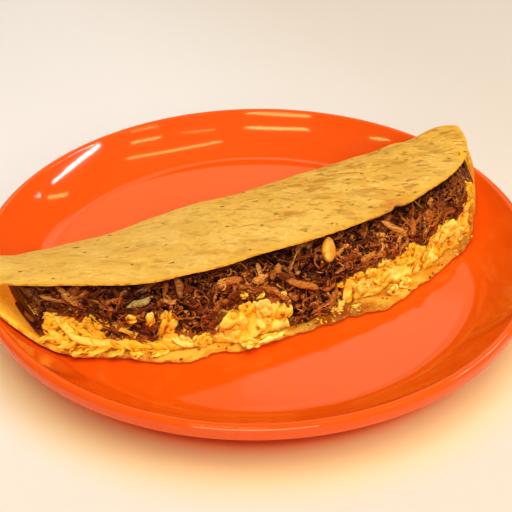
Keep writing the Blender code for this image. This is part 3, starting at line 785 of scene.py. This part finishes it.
def fill_floor(x, y):
    """The filling lies on the lower flap, which is thicker in plan where it climbs the wall."""
    climb = ease(WELL_RADIUS - 4, WELL_RADIUS + 14, hypot(x, y))
    return bed_height(x, y) + SHEET_THICKNESS * (1 + CLIMB_ALLOWANCE * climb) + LAYER_GAP


def fill_roof(x, y):
    """The upper flap lies on the filling."""
    return upper_height(x, y) - SHEET_THICKNESS * FLAP_ALLOWANCE - LAYER_GAP


def room(x, y):
    """Height between the flaps that is left for the cheese."""
    return fill_roof(x, y) - fill_floor(x, y) - MEAT_LEAST


@cache
def cheese_height(x):
    """Height of the cheese at the mouth, above the lower flap, where there is room for it."""
    height = CHEESE_HEIGHT + CHEESE_RISE * ease(20, 100, x)
    for start, end, drop, soft in CHEESE_TROUGHS:
        height -= drop * ease(start - soft, start, x) * (1 - ease(end, end + soft, x))
    height += 1.2 * ripple(x, 0, 11, 3)
    return max(min(height, room(x, fill_front(x))), CHEESE_LEAST)


def cheese_face(x, rise):
    """Y of the cheese's front at a height above its foot: a low nose that leans back."""
    lean = blend(CHEESE_LEAN_LEFT, CHEESE_LEAN_RIGHT, ease(-40, 20, x))
    lean *= min(1, (fill_rear(x) - fill_front(x)) / 40)
    nose = CHEESE_NOSE * sin(min(rise / 5, 1) * pi)
    uneven = CHEESE_UNEVEN * ripple(x, rise, 10, 4)
    return fill_front(x) + lean * (rise / CHEESE_HEIGHT) - nose + uneven


def cheese_top(x, y):
    """Height of the cheese's upper face, which thins towards the fold."""
    front, rear = cheese_face(x, cheese_height(x)), fill_rear(x)
    back = CHEESE_SHARE_AT_FOLD * (room(x, rear) + MEAT_LEAST)
    share = clamp((y - front) / max(rear - front, 1))
    thickness = blend(cheese_height(x), back, share ** 0.7)
    return fill_floor(x, y) + max(min(thickness, room(x, y)), CHEESE_LEAST)


def layer_ring(x, face, rows, top, bottom, lift=0):
    """A closed ring: a layer's face, then back along its top and forward along its bottom."""
    front, rear = face[-1].y, fill_rear(x)
    above = [Vector((x, y, top(x, y))) for y in along(front, rear, rows)[1:]]
    below = [Vector((x, y, bottom(x, y) + lift)) for y in along(rear, face[0].y, rows)[:-1]]
    return face + above + below


def meat_face(x, share):
    """Y of the meat's front: on the cheese at share 0 and tucked under the flap at share 1."""
    foot = cheese_face(x, cheese_height(x))
    head = max(upper_edge(x) + MEAT_TUCK, foot + 3)
    head = min(head, fill_rear(x) - 4)
    bulge = MEAT_BULGE * sin(pi * share)
    uneven = MEAT_UNEVEN * ripple(x, share * 20, 7, 6) * min(5 * share, 1)
    return blend(foot, head, max(share, 0) ** 1.3) - bulge + uneven


@cache
def meat_foot(x):
    """Height of the line where the meat lies on the cheese at the mouth."""
    return cheese_top(x, meat_face(x, 0))


def meat_point(x, share):
    """A point of the meat's front, between the cheese and the upper flap."""
    y = meat_face(x, share)
    return Vector((x, y, blend(meat_foot(x), fill_roof(x, y), share)))


def cheese_point(x, share):
    rise = share * cheese_height(x)
    y = cheese_face(x, rise)
    return Vector((x, y, fill_floor(x, y) + rise))


def fill_stations(count, cover=0.93):
    """Stations along X, closer together where the filling rounds off at its ends."""
    turn = pi / 2 * cover
    for angle in along(-turn, turn, count):
        yield (FILL_REACH_RIGHT if angle > 0 else FILL_REACH_LEFT) * sin(angle)


# ---- the mouth

OUTWARD = Vector((0, -0.86, 0.51))
MOUTH_ENDS = (-115, 119)


@cache
def meat_span(x):
    """Length of the meat's face, from the cheese up to where it goes under the flap."""
    return max((meat_point(x, 1) - meat_point(x, 0)).length, 4)


def mouth_point(x, height, out=0):
    """A point of the mouth, at a height along its face from the lower flap, and so far out."""
    x = clamp(x, *MOUTH_ENDS)
    top = cheese_height(x)
    if height < top:
        point = cheese_point(x, max(height, 0) / top)
    else:
        point = meat_point(x, min((height - top) / meat_span(x), 0.97))
    return point + OUTWARD * out


def billow(x, y, size, layer):
    """Round swellings with sharp creases between them: 0 in a crease and 1 at the most."""
    return min(1, 2.1 * abs(ripple(x, y, size, layer))) ** 0.75


def cells(x, y, width, height, layer):
    """Rounded lumps with creases between them: 0 in a crease and 1 on a lump."""
    near, far = voronoi(Vector((x / width, y / height, layer)))[0][:2]
    return min(1, 1.7 * (far - near)) ** 0.6 * (1.05 - 0.35 * near)


def swollen(point, size, layer, creases):
    """A point of an uneven lump: `point` lies on the unit ball and `size` is the lump's."""
    place = point * creases + Vector((layer, 0, 0))
    swell = 0.8 + 0.34 * min(1, 2 * abs(noise(place))) + 0.1 * noise(place * 2.7)
    swell += 0.22 * noise(point * 0.9 + Vector((0, layer, 0)))
    return Vector([c * s * swell / 2 for c, s in zip(point, size)]), swell


# ---- the cheese

def curd_relief(x, height):
    """Height of the cheese's relief, between 0 and 1: pulled folds on the left, curds elsewhere."""
    stringy = 1 - ease(-70, -58, x)
    lumps = folds = 0
    if stringy < 1:
        u = x + 2.2 * ripple(x, height, 6, 20)
        v = height + 2.2 * ripple(x, height, 6, 30)
        lumps = 0.56 * billow(u, v, 9, 0.3) + 0.34 * billow(u, v, 4.6, 5.3)
        lumps += 0.1 * cells(u, v, 2.6, 2, 8.3)
    if stringy > 0:
        turn = radians(-25 + 16 * ripple(x, height, 20, 3.5))
        length = x * cos(turn) + height * sin(turn)
        across = height * cos(turn) - x * sin(turn)
        phase = across / 4.2 + 0.9 * ripple(length, across, 12, 1.3)
        sheet = phase - floor(phase)
        folds = 0.62 * sheet ** 0.7 * (1 - ease(0.86, 1, sheet))
        folds += 0.38 * billow(length / 2.4, across, 2.6, 7.3)
    return blend(lumps, folds, stringy)


def sauce_over(x, height):
    """How far sauce has run down over the cheese: all over its top edge, in tongues below."""
    below = cheese_height(x) - height
    tongue = 2.2 + 3.2 * ripple(x, 0, 7, 13) + 1.6 * ripple(x, height, 2.4, 17)
    return 1 - ease(tongue - 1.6, tongue + 1.2, below)


def make_cheese(finish):
    bed = Heap("proud", "tone", "sauce")
    rings, prouds, tones, sauces = [], [], [], []
    face_rows, back_rows = 60, 9
    hidden = back_rows - 1
    for x in fill_stations(620):
        height = cheese_height(x)
        depth = blend(2.3, 2.9, ease(-70, -55, x)) * ease(0.5, 6, height)
        # Towards both ends of the mouth the cheese is made less proud and less cream, so darker and
        # more orange.
        toward_ends = 1.2 * (1 - ease(-66, -50, x)) + 0.9 * ease(82, 96, x)
        face = []
        for share in along(0, 1, face_rows):
            relief = curd_relief(x, share * height)
            swell = depth * (relief - 0.35) * ease(-0.12, 0.12, share)
            face.append(cheese_point(x, share) + OUTWARD * swell)
            prouds.append(relief * (1 - 0.38 * toward_ends))
            tones.append((0.5 + 0.9 * ripple(x, share * height, 8, 9)) * (1 - 0.5 * toward_ends))
            sauces.append(sauce_over(x, share * height))
        rings.append(layer_ring(x, face, back_rows, cheese_top, fill_floor))
        prouds += [0.2] * 2 * hidden
        tones += [0.2] * 2 * hidden
        sauces += [0.8] * hidden + [0.3] * hidden
    bed.tube(rings, proud=prouds, tone=tones, sauce=sauces)
    return bed.piece("cheese_bed", "white_cheese", finish, replaces="cheese")


def add_curd(heap, rng, centre, size, turn, tone, sauce, detail, creases):
    """One uneven lump of cheese with creases in it, turned in the plane of the mouth."""
    layer = rng.uniform(0, 90)
    spin = Matrix.Rotation(radians(-turn), 3, "Y")
    spots, proud = [], []
    for point in ball(detail)[0]:
        spot, swell = swollen(point, size, layer, creases)
        facing = 0.8 + 0.3 * point.dot(OUTWARD)
        spots.append(centre + spin @ spot)
        proud.append(clamp(1.9 * (swell - 0.72) * facing))
    heap.lump(spots, detail, proud=proud, tone=tone, sauce=sauce)


def on_flap(x, forward, lift):
    """A point on the bare edge of the lower flap, in front of the cheese's foot."""
    y = max(cheese_face(x, 0) - forward, lower_edge(x) - 0.2)
    return Vector((x, y, fill_floor(x, y) - LAYER_GAP + lift))


def make_curds(finish):
    """Lumps and curds that stand out of the cheese, and crumbs of it on the bare edge."""
    rng = random.Random(31)
    curds = Heap("proud", "tone", "sauce")

    def lump(x, height, size, turn, tone, creases=1.3, sauce=0, out=0):
        centre = mouth_point(x, height, out)
        add_curd(curds, rng, centre, size, turn, tone, sauce, 5, creases)

    for known in (
            # Three smooth folded lumps side by side in the middle.
            (-35.5, 6.2, (15, 6, 12.5), -6, 0.35, 1.25), (-28.5, 9.8, (9, 6, 9), 20, 0.15, 1.1),
            (-21.5, 8.6, (10, 6, 12.5), 38, 0.65, 1.4), (-13, 5.6, (9, 6.5, 13), -34, 0.35, 1.2),
            # An upright lump at the end of the pulled strips, and small ones amid the meat.
            (-62.5, 8.2, (9.5, 6, 16), -12, 0.25), (-50.5, 2.2, (7, 4, 5), 0, 0.2, 1.3, 0.15),
            (-76, 14.6, (6.2, 4, 4.6), 10, 0.4, 0.8, 0.1, 0.6),
            (-69.8, 14, (4.4, 3.6, 8.6), -10, 0.4, 0.8, 0.1, 0.6),
            (-88, 8.6, (5, 4, 5.5), 30, 0.1, 1.3, 0.3, 0.4),
            (-109.5, 9.5, (3.4, 2.6, 2.6), 0, 0.4, 1.3, 0, 1),
            (-29, 17.2, (3.4, 3, 2.8), 0, 0.8, 1.3, 0, 1.2),
            (-21.5, 14.4, (4.6, 3, 2.6), 12, 0.9, 1.3, 0.2, 1.2),
            (-12, 16.4, (2.8, 2.4, 2.4), 0, 0.8, 1.3, 0, 1.4),
            # A tall fold of curd at the right and the broad lump at the end of the mouth.
            (58, 9.6, (7, 6, 12), -14, 0.05, 1.3, 0, 0.4),
            (86, 10.5, (10, 6.5, 9), 30, 0.5, 1.3, 0, 0.2),
            (92, 6, (9, 6, 9), 40, 0.75, 1.3, 0, 0.2),
            (107, 14.5, (8, 5, 12), 30, 0, 1.3, 0.3, 0.2),
            (116, 21, (5, 4, 9), 12, 0, 1.3, 0.35, 0.4)):
        lump(*known)
    for x in spread(rng, 9, 112, 64):
        height = cheese_height(x) * rng.betavariate(1.6, 1.7)
        size = list(drawn(rng, (3.2, 8), (2.8, 4.4), (2.6, 6.2)))
        centre = mouth_point(x, height, -rng.uniform(-0.6, 1))
        add_curd(curds, rng, centre, size, rng.uniform(-40, 60), rng.random(), 0, 3, 1.9)
    for x in spread(rng, -60, -10, 14):
        height = cheese_height(x) * rng.uniform(0, 1)
        size = list(drawn(rng, (3, 6), (2.4, 3.6), (2.4, 4.4)))
        centre = mouth_point(x, height, -0.4)
        turn, tone, sauce = rng.uniform(-40, 40), rng.random(), rng.uniform(0, 0.6)
        add_curd(curds, rng, centre, size, turn, tone, sauce, 3, 1.6)
    # Pale flakes that have slid down on to the bare edge.
    for x, forward, size in (
            (-32, 5.5, (10, 7, 2.8)), (-23, 3.6, (13, 4.5, 2.6)), (-78, 2.6, (5.5, 7, 2.4)),
            (42, 4.8, (6.2, 5, 5.4)), (50.5, 3, (7.2, 5, 5.2)), (-102, -0.4, (10, 5, 4.4)),
            (-90, 0.6, (15, 4.5, 3.4)), (14, 2.4, (4, 2.4, 2)), (22, 2.8, (5, 3, 2.2)),
            (-110, 0.4, (8, 4, 3.6)), (-98, 2.4, (9, 4, 3)), (-85, 2.8, (8, 3.6, 2.4)),
            (-69, 1.6, (9, 3.4, 2.2))):
        turn, tone = rng.uniform(-8, 8), 0.35 if x < -65 else 1
        centre = on_flap(x, forward, 0.42 * size[2])
        add_curd(curds, rng, centre, size, turn, tone, 0, 4, 1.1)
    for _ in range(110):
        x = rng.uniform(-106, 112)
        centre = on_flap(x, rng.uniform(-0.5, 7), 0.25)
        size = list(drawn(rng, (0.6, 2.2), (0.6, 1.6), (0.5, 1.2)))
        add_curd(curds, rng, centre, size, 0, rng.random(), rng.choice((0, 0, 0.7)), 2, 1.2)
    return curds.piece("cheese_curds", "white_cheese", finish)


def surface_path(rng, x, height, length, tilt, curl, proud, points, lap=None):
    """A wavy line over the mouth through one spot, which may `lap` so far over the cheese."""
    layer = rng.uniform(0, 99)
    heading = tilt - curl / 2
    step = length / (points - 1)
    spots = [(0, 0)]
    for _ in range(points - 1):
        run, rise = spots[-1]
        spots.append((run + step * cos(heading), rise + step * sin(heading)))
        heading += curl / (points - 1)
    middle = spots[points // 2]
    path = []
    for k, (run, rise) in enumerate(spots):
        px = clamp(x + run - middle[0], *MOUTH_ENDS)
        level = height + rise - middle[1]
        if lap is not None:
            level = max(level, cheese_height(px) - lap)
        wave = noise(Vector((k * 0.7, layer, 0))) * 0.8
        ends = 0.6 * (2 * k / (points - 1) - 1) ** 2 * sin(layer)
        path.append(mouth_point(px, level, proud + wave + ends))
    return path


def strand(rng, path, width, thickness, sides, twist, ribs, fray):
    """Rings of a flattened strand: ribbed along its length, twisted, and frayed at both ends."""
    layer = rng.uniform(0, 99)
    lobes = [1 + ribs * rng.uniform(-1, 1) for _ in range(sides)]
    frays = [0.08 + fray * rng.random() for _ in range(sides)]
    last = len(path) - 1
    rings = []
    for k, point in enumerate(path):
        ahead = (path[min(k + 1, last)] - path[max(k - 1, 0)]).normalized()
        side = ahead.cross(OUTWARD)
        if side.length <= 0.05:
            side = ahead.cross(Vector((0, 0, 1)))
        side.normalize()
        out = side.cross(ahead)
        turn = Matrix.Rotation(twist * (k / last - 0.5), 3, ahead)
        side, out = turn @ side, turn @ out
        end = min(k, last - k) / last
        ring = []
        for corner in range(sides):
            angle = tau * corner / sides
            draw = blend(0.22, 1, ease(0, frays[corner], end)) * lobes[corner]
            draw *= 1 + 0.7 * ribs * noise(Vector((k * 0.8, corner * 1.7, layer)))
            offset = side * width / 2 * cos(angle) + out * thickness / 2 * sin(angle)
            ring.append(point + offset * draw)
        rings.append(ring)
    return rings


def make_pulled_cheese(finish):
    """Broad folded strips of melted cheese at the left of the mouth, and threads elsewhere."""
    rng = random.Random(47)
    strips = Heap("proud", "tone", "sauce")
    sides, points = 14, 17
    edge = [0.06 + 0.7 * abs(sin(tau * corner / sides)) for corner in range(sides)] * points

    def strip(x, height, length, tilt, width, tone, proud, curl=0, sauce=0):
        path = surface_path(rng, x, height, length, radians(tilt), curl, proud, points)
        twist = rng.uniform(-0.9, 0.9)
        rings = strand(rng, path, width, max(0.8, 0.26 * width), sides, twist, ribs=0.14, fray=0.3)
        strips.tube(rings, proud=edge, tone=tone, sauce=sauce)

    # The long lifted fold that runs down to the right, the rolled end beside it, the lower folds.
    for known in (
            (-82, 9, 34, -19, 3.4, 0, 0.1, -0.25), (-86, 11.4, 26, -22, 3, 0.1, 0, -0.3),
            (-101, 7.4, 15, -52, 3.8, 0.5, 0.4, 0.7), (-92, 3.2, 20, -6, 4.2, 0.7, 0.5, 0.7),
            (-77, 3, 16, -8, 3, 0, 0, 0.5), (-105, 2.6, 9, -30, 4, 0.2, 0.3),
            (-58, 2, 12, -24, 3, 0.9, 0.5, 0.6), (-52, 1.2, 12, 14, 1.8, 0.9, 0.6, -0.4)):
        strip(*known)
    for x in spread(rng, -107, -62, 26):
        height = max(cheese_height(x), 4) * rng.uniform(0.1, 0.98)
        strip(x, height, *drawn(rng, (7, 20), (-42, -8), (1.3, 3.4), (-0.3, 0.3), (-0.8, 0.3),
                                (-0.7, 0.7), [0, 0, 0.25]))
    for x in spread(rng, 14, 104, 22):
        height = cheese_height(x) * rng.uniform(0.2, 1.15)
        strip(x, height, *drawn(rng, (4, 10), (-70, 60), (0.9, 2), (0.2, 1), (0.2, 1),
                                (-1.2, 1.2)))
    return strips.piece("pulled_cheese", "white_cheese", finish)


# ---- the meat

def shade_under_flap(x, height):
    """Less light reaches the meat that lies far in under the upper flap, or at the ends."""
    share = (height - cheese_height(x)) / meat_span(x)
    shade = 1 - 0.62 * ease(0.55, 1, share)
    return shade * (1 - 0.2 * ease(62, 100, abs(x))) * (1 - 0.3 * ease(94, 110, -x))


def light_on_meat(x, height, proud, open_at):
    """Meat is dark in the gaps and fully lit where it stands out as far as `open_at`."""
    return blend(0.22, 1.02, ease(-0.8, open_at, proud)) * shade_under_flap(x, height)


def make_meat_bed(finish):
    """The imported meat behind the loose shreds."""
    bed = Heap("tint", "light")
    rings, tints, lights = [], [], []
    face_rows, back_rows = 44, 6
    hidden = back_rows - 1
    for x in fill_stations(440):
        face = []
        for share in along(0, 1, face_rows):
            point = meat_point(x, share)
            rough = noise(point / 3.4) + 0.6 * noise(point / 1.5) + 0.35 * noise(point / 0.7)
            face.append(point + OUTWARD * (1.1 * rough - 1.3))
            tints.append(0.28 + 0.45 * rough)
            # Painted shade: the bed behind the shreds carries little light, so it is painted dark.
            lights.append(0.24 * (1 - 0.6 * ease(0.5, 1, share)) + 0.22 * rough)
        rings.append(layer_ring(x, face, back_rows, fill_roof, cheese_top, lift=0.2))
        tints += [0.3] * 2 * hidden
        lights += [0.5] * 2 * hidden
    bed.tube(rings, tint=tints, light=lights)
    return bed.piece("meat_bed", "stewed_meat", finish, replaces="shredded_meat")


def spot_on_meat(rng, k, low=-0.12, high=0.97):
    """A place on the meat and its height along the mouth, spread evenly from end to end."""
    x = blend(-114, 118, (k * 0.618034 + 0.05 * rng.random()) % 1)
    share = rng.uniform(low, high)
    reach_down = 7 if share < 0 else meat_span(x)
    return x, cheese_height(x) + share * reach_down


def make_shreds(finish):
    """Ribbed shreds of meat in every direction, with some larger pieces in known places."""
    rng = random.Random(5)
    shreds = Heap("tint", "light")

    def shred(x, height, length, tilt, width, thickness, tint, proud=1.1, curl=0, lap=3):
        path = surface_path(rng, x, height, length, tilt, curl, proud, 10, lap)
        twist = rng.uniform(-1.8, 1.8)
        rings = strand(rng, path, width, thickness, 9, twist, ribs=0.3, fray=0.3)
        shreds.tube(rings, tint=tint, light=light_on_meat(x, height, proud, 1))

    for k in range(900):
        x, height = spot_on_meat(rng, k)
        long = rng.random() < 0.22
        length = rng.uniform(7, 13) if long else rng.triangular(2.2, 8.5, 4.2)
        tilt = rng.gauss(0.1, 0.5) if rng.random() < 0.6 else rng.uniform(0, pi)
        width = rng.triangular(0.8, 3, 1.3)
        tint = rng.betavariate(1.6, 1.7) * 0.84
        if rng.random() < 0.07:
            tint = rng.uniform(0.84, 1)
        shred(x, height, length, tilt, width, width * rng.uniform(0.45, 0.9), tint,
              rng.uniform(-0.9, 1.1), rng.gauss(0, 0.8), rng.uniform(0.2, 2.6))
    # Paler, thicker pieces: strips at the left, an upright stick, strips amid the mouth.
    for x, height, length, tilt, *rest in (
            (-103, 19.6, 10, 4, 2.6, 1.6, 0.9), (-97, 21, 10, -42, 2.8, 1.6, 0.93),
            (-91.5, 22.8, 7, 40, 2.4, 1.4, 0.84), (-55, 26.6, 9.5, 87, 3.4, 1.2, 0.88, 1.6),
            (-71.5, 21.6, 12, 21, 2.6, 1.5, 1.15, 1.5), (-66, 27.6, 9, 22, 1.2, 0.9, 1.1),
            (-79, 22.6, 9, 64, 1.6, 1.2, 0.7), (-19, 26, 7, 84, 2.2, 1.2, 0.95),
            (-14.5, 16, 13, -24, 2.7, 1.6, 0.84), (-1, 16.8, 17, -31, 3.2, 1.8, 0.86),
            (9, 5.6, 18, 30, 3.2, 2, 0.72, 1, 0.5), (51.5, 25.6, 14, -44, 2.8, 1.6, 0.9, 1.7),
            (33, 19.6, 9, 16, 2.4, 1.6, 0.88), (61, 22.4, 8, 72, 3, 2.2, 0.8),
            (-2.5, 28.4, 10, 34, 0.8, 0.7, 1, 2, -0.5), (68.5, 30.4, 6, -62, 0.7, 0.6, 1, 3.4)):
        shred(x, height, length, radians(tilt), *rest)
    # Groups of pieces: how many, then the spans of what `shred` asks for.
    for count, *spans in (
            (16, (74, 112), (18, 29), (7, 14), (-10, 60), (0.9, 1.8), 1, (0.45, 0.8), (0.6, 1.6),
             [-1.4, 1.4]),
            (26, (109, 118), (14, 34), (3, 8), (20, 110), (0.9, 2), 1, (0.25, 0.75), (0, 1.2),
             (-1.2, 1.2)),
            (14, (90, 111), (8, 18), (4, 9), (40, 120), (0.8, 1.7), 0.8, (0.25, 0.6), (1.2, 2.4),
             [-1.4, 1.4]),
            (12, (34, 72), (13, 22), (4, 9), (0, 80), (0.8, 1.8), 0.9, (0.78, 0.98), (0.8, 1.8),
             [-1, 1]),
            (12, (-46, -39), (3, 10), (3, 7), (-40, 60), (1.2, 2.4), 1.1, (0.2, 0.6), (0.2, 1.2),
             (-1, 1))):
        for _ in range(count):
            x, height, length, tilt, *rest = drawn(rng, *spans)
            shred(x, height, length, radians(tilt), *rest)
    return shreds.piece("meat_shreds", "stewed_meat", finish)


def make_crumbs(finish):
    """Crumbs and knobs of meat between the shreds, and a few soft scraps of onion."""
    rng = random.Random(13)
    crumbs = Heap("tint", "light")

    def crumb(x, height, size, turn, tint, out, detail, creases):
        layer = rng.uniform(0, 90)
        spin = Matrix.Rotation(turn, 3, "Y")
        centre = mouth_point(x, height, out)
        spots = [centre + spin @ swollen(point, size, layer, creases)[0]
                 for point in ball(detail)[0]]
        crumbs.lump(spots, detail, tint=tint, light=light_on_meat(x, height, out, 0.9))

    for k in range(1500):
        x, height = spot_on_meat(rng, k + 0.5, -0.2)
        long = rng.triangular(0.7, 3.6, 1.3)
        size = (long, long * rng.uniform(0.5, 0.9), long * rng.uniform(0.4, 0.8))
        common = rng.random() < 0.94
        tint = rng.betavariate(1.6, 1.8) * 0.84 if common else rng.uniform(0.84, 1)
        crumb(x, height, size, rng.uniform(0, pi), tint, rng.uniform(-0.9, 1.3), 2, 2.2)
    for x, height, size, turn, tint in (
            (-32, 23.8, (10, 3.4, 4.2), 0.1, 0.84), (-37, 24, (4, 3.2, 4), 0, 1),
            (-20.5, 21.8, (7.5, 2.4, 5.2), -0.3, 0.97), (-11.5, 26, (4.4, 1.8, 8.5), 0.2, 0.93),
            (-94, 24, (6, 3, 4), 0.4, 0.82), (72, 24, (6, 4, 7), 0.4, 0.75)):
        crumb(x, height, size, turn, tint, 0.9, 4, 1.6)
    return crumbs.piece("meat_crumbs", "stewed_meat", finish)


def make_fibres(finish):
    """Fine fibres that have come away from the shreds, and curled slices of onion."""
    rng = random.Random(9)
    fibres = Heap("tint", "light")

    def fibre(x, height, length, tilt, curl, proud, points, width, thickness, tint):
        path = surface_path(rng, x, height, length, tilt, curl, proud, points, 1.5)
        rings = strand(rng, path, width, thickness, 5, rng.uniform(-1, 1), ribs=0.1, fray=0.25)
        fibres.tube(rings, tint=tint, light=shade_under_flap(x, height))

    for k in range(620):
        x, height = spot_on_meat(rng, k + 0.31)
        width = rng.uniform(0.28, 0.7)
        tint = rng.choice((0.3, 0.5, 0.62, 0.75, 0.88)) + rng.uniform(-0.05, 0.05)
        fibre(x, height, rng.uniform(2, 6.5), rng.gauss(0.1, 1), rng.gauss(0, 1.3),
              rng.uniform(0, 1.8), 7, width, width * 0.7, tint)
    for x in spread(rng, -108, 112, 54):
        height = cheese_height(x) + rng.uniform(0.15, 0.85) * meat_span(x)
        length, tilt = rng.uniform(5, 10), rng.uniform(0, tau)
        curl = rng.choice((-1, 1)) * rng.uniform(2.4, 4.4)
        fibre(x, height, length, tilt, curl,
              *drawn(rng, (0.6, 1.6), 13, (0.7, 1.2), 1.1, (0.6, 0.95)))
    return fibres.piece("meat_fibres", "stewed_meat", finish)


def make_kernel(finish):
    """One plump yellow kernel that leans on the meat just under the upper flap."""
    kernel = Heap("foot")
    low, high = (meat_point(KERNEL_X, share) for share in KERNEL_SHARES)
    lean = atan2(high.y - low.y, high.z - low.z)
    out = Vector((0, -cos(lean), sin(lean)))
    centre = (low + high) / 2 + out * KERNEL_STANDOFF
    spin = Matrix.Rotation(-lean, 3, "X") @ Matrix.Rotation(KERNEL_TURN, 3, "Y")
    spots, shaded_top = [], []
    for point in ball(5)[0]:
        half = Vector([c * size / 2 for c, size in zip(point, KERNEL_SIZE)])
        half.x *= 1 - 0.14 * ease(0, 1, point.z)
        half.y *= 1 - 0.18 * bell(point.x, 0, 0.35) * ease(0.2, -0.6, -point.y)
        spots.append(centre + spin @ half * (1 + 0.04 * noise(point * 2)))
        # Painted shade: darker towards the upper end, which lies under the flap.
        shaded_top.append(ease(0.45, 1, point.z) * 0.8)
    kernel.lump(spots, 5, foot=shaded_top)
    return kernel.piece("corn_kernel", "yellow_kernel", finish, replaces="kernel")


# ---- table, light and camera

def make_table(finish):
    bm = bmesh.new()
    bmesh.ops.create_grid(bm, x_segments=2, y_segments=2, size=3.0)
    mesh = bpy.data.meshes.new("table")
    bm.to_mesh(mesh)
    bm.free()
    mesh.materials.append(finish)
    placed("table", mesh)


def lamp(name, place, size, power, colour=(1, 0.95, 0.87), aim=(0, 0, 0), mirrored=True,
         lights_up=True):
    """A soft panel of light at a place, turned towards an aim.

    A panel that isn't mirrored gives light but doesn't show in glossy surfaces, as if it were
    far larger and dimmer. One that doesn't light up only shows as a gleam.
    """
    data = bpy.data.lights.new(name, "AREA")
    data.shape = "RECTANGLE"
    data.size, data.size_y = size
    data.energy = power
    data.color = colour
    obj = placed(name, data)
    obj.location = place
    obj.rotation_euler = (Vector(aim) - Vector(place)).to_track_quat("-Z", "Y").to_euler()
    obj.visible_glossy = mirrored
    obj.visible_diffuse = lights_up
    return obj


def make_light():
    world = bpy.data.worlds.new("room")
    world.use_nodes = True
    background = world.node_tree.nodes["Background"]
    background.inputs["Color"].default_value = (1, 0.87, 0.72, 1)
    background.inputs["Strength"].default_value = 0.14
    bpy.context.scene.world = world
    food, gleam = {"aim": (0, 0, 0.02), "mirrored": False}, {"lights_up": False}
    lamp("ceiling", (0.05, -0.35, 1.7), (2.2, 2), 35.5, mirrored=False)
    lamp("front", (-0.6, -1.5, 0.8), (1.4, 0.7), 8.4, **food)
    lamp("front_right", (1, -1.2, 0.8), (0.9, 0.7), 4.8, **food)
    far_sides = ((5.2, 2.55, 13.8), (4.8, 2.2, 11.1), (4.4, 1.85, 8.5))
    for k, (*size, power) in enumerate(far_sides):
        lamp(f"far_side_{k}", (0.4, 3 + 0.03 * k, 2.1), size, power, (1, 0.9, 0.44), **gleam)
    lamp("sheen", (1.05, 1.3, 1.5), (0.75, 0.35), 0.55, **gleam)
    lamp("wet_gleam", (-1, -1.9, 1), (1.7, 0.8), 42, (1, 0.88, 0.62), **gleam)
    # Rows of ceiling tubes that the plate's wall mirrors: both ends, width and gleam.
    yellow = ((0.86, -0.36, 0.08, -0.36, 0.036, 20), (0.84, -0.65, 0.54, -0.66, 0.042, 26),
              (0.88, -0.9, 0.56, -0.91, 0.036, 14), (0.33, -0.67, 0.05, -0.6, 0.036, 9),
              (-0.19, -0.52, -0.61, -0.24, 0.046, 30), (-0.33, -0.82, -0.82, -0.44, 0.046, 26),
              (-0.98, 0.23, -1.12, 0.39, 0.036, 34), (2.04, 0.29, 1.6, 0.18, 0.04, 24))
    white = ((2, 0, 1.34, -0.64, 0.055, 55), (1.78, -0.22, 1.3, -0.72, 0.075, 55),
             (2.41, 0.33, 2.28, 0.3, 0.06, 24))
    for k, (x, y, end_x, end_y, width, shine) in enumerate(yellow + white):
        run = Vector((end_x - x, end_y - y))
        place = ((x + end_x) / 2, (y + end_y) / 2, 1.5)
        power = shine * pi * run.length * width
        colour = (1, 0.76, 0.22) if k < len(yellow) else (1, 0.97, 0.9)
        tube = lamp(f"tube_{k}", place, (run.length, width), power, colour, **gleam)
        tube.rotation_euler = (0, 0, atan2(run.y, run.x))
    bpy.context.scene.view_settings.view_transform = "Standard"


def make_camera():
    """A lens that takes in 30 degrees, about 0.44 m away and looking down at 35 degrees."""
    data = bpy.data.cameras.new("camera")
    data.angle = radians(30)
    camera = placed("camera", data)
    aim, distance = Vector((-0.0095, -0.01836, 0.0235)), 0.4381
    azimuth, elevation, roll = radians(-27), radians(35.4), radians(-0.74)
    flat = cos(elevation)
    back = Vector((sin(azimuth) * flat, -cos(azimuth) * flat, sin(elevation)))
    turn = (-back).to_track_quat("-Z", "Y").to_matrix() @ Matrix.Rotation(roll, 3, "Z")
    camera.matrix_world = Matrix.Translation(aim + back * distance) @ turn.to_4x4()
    bpy.context.scene.camera = camera


def main():
    make_plate(glaze_finish())
    make_tortilla(toasted_finish(), soft_corn_finish(), edge_finish())
    curd = curd_finish()
    make_cheese(curd)
    make_curds(curd)
    make_pulled_cheese(curd)
    meat = meat_finish()
    make_meat_bed(meat)
    make_shreds(meat)
    make_crumbs(meat)
    make_fibres(meat)
    make_kernel(kernel_finish())
    make_table(table_finish())
    make_light()
    make_camera()


main()
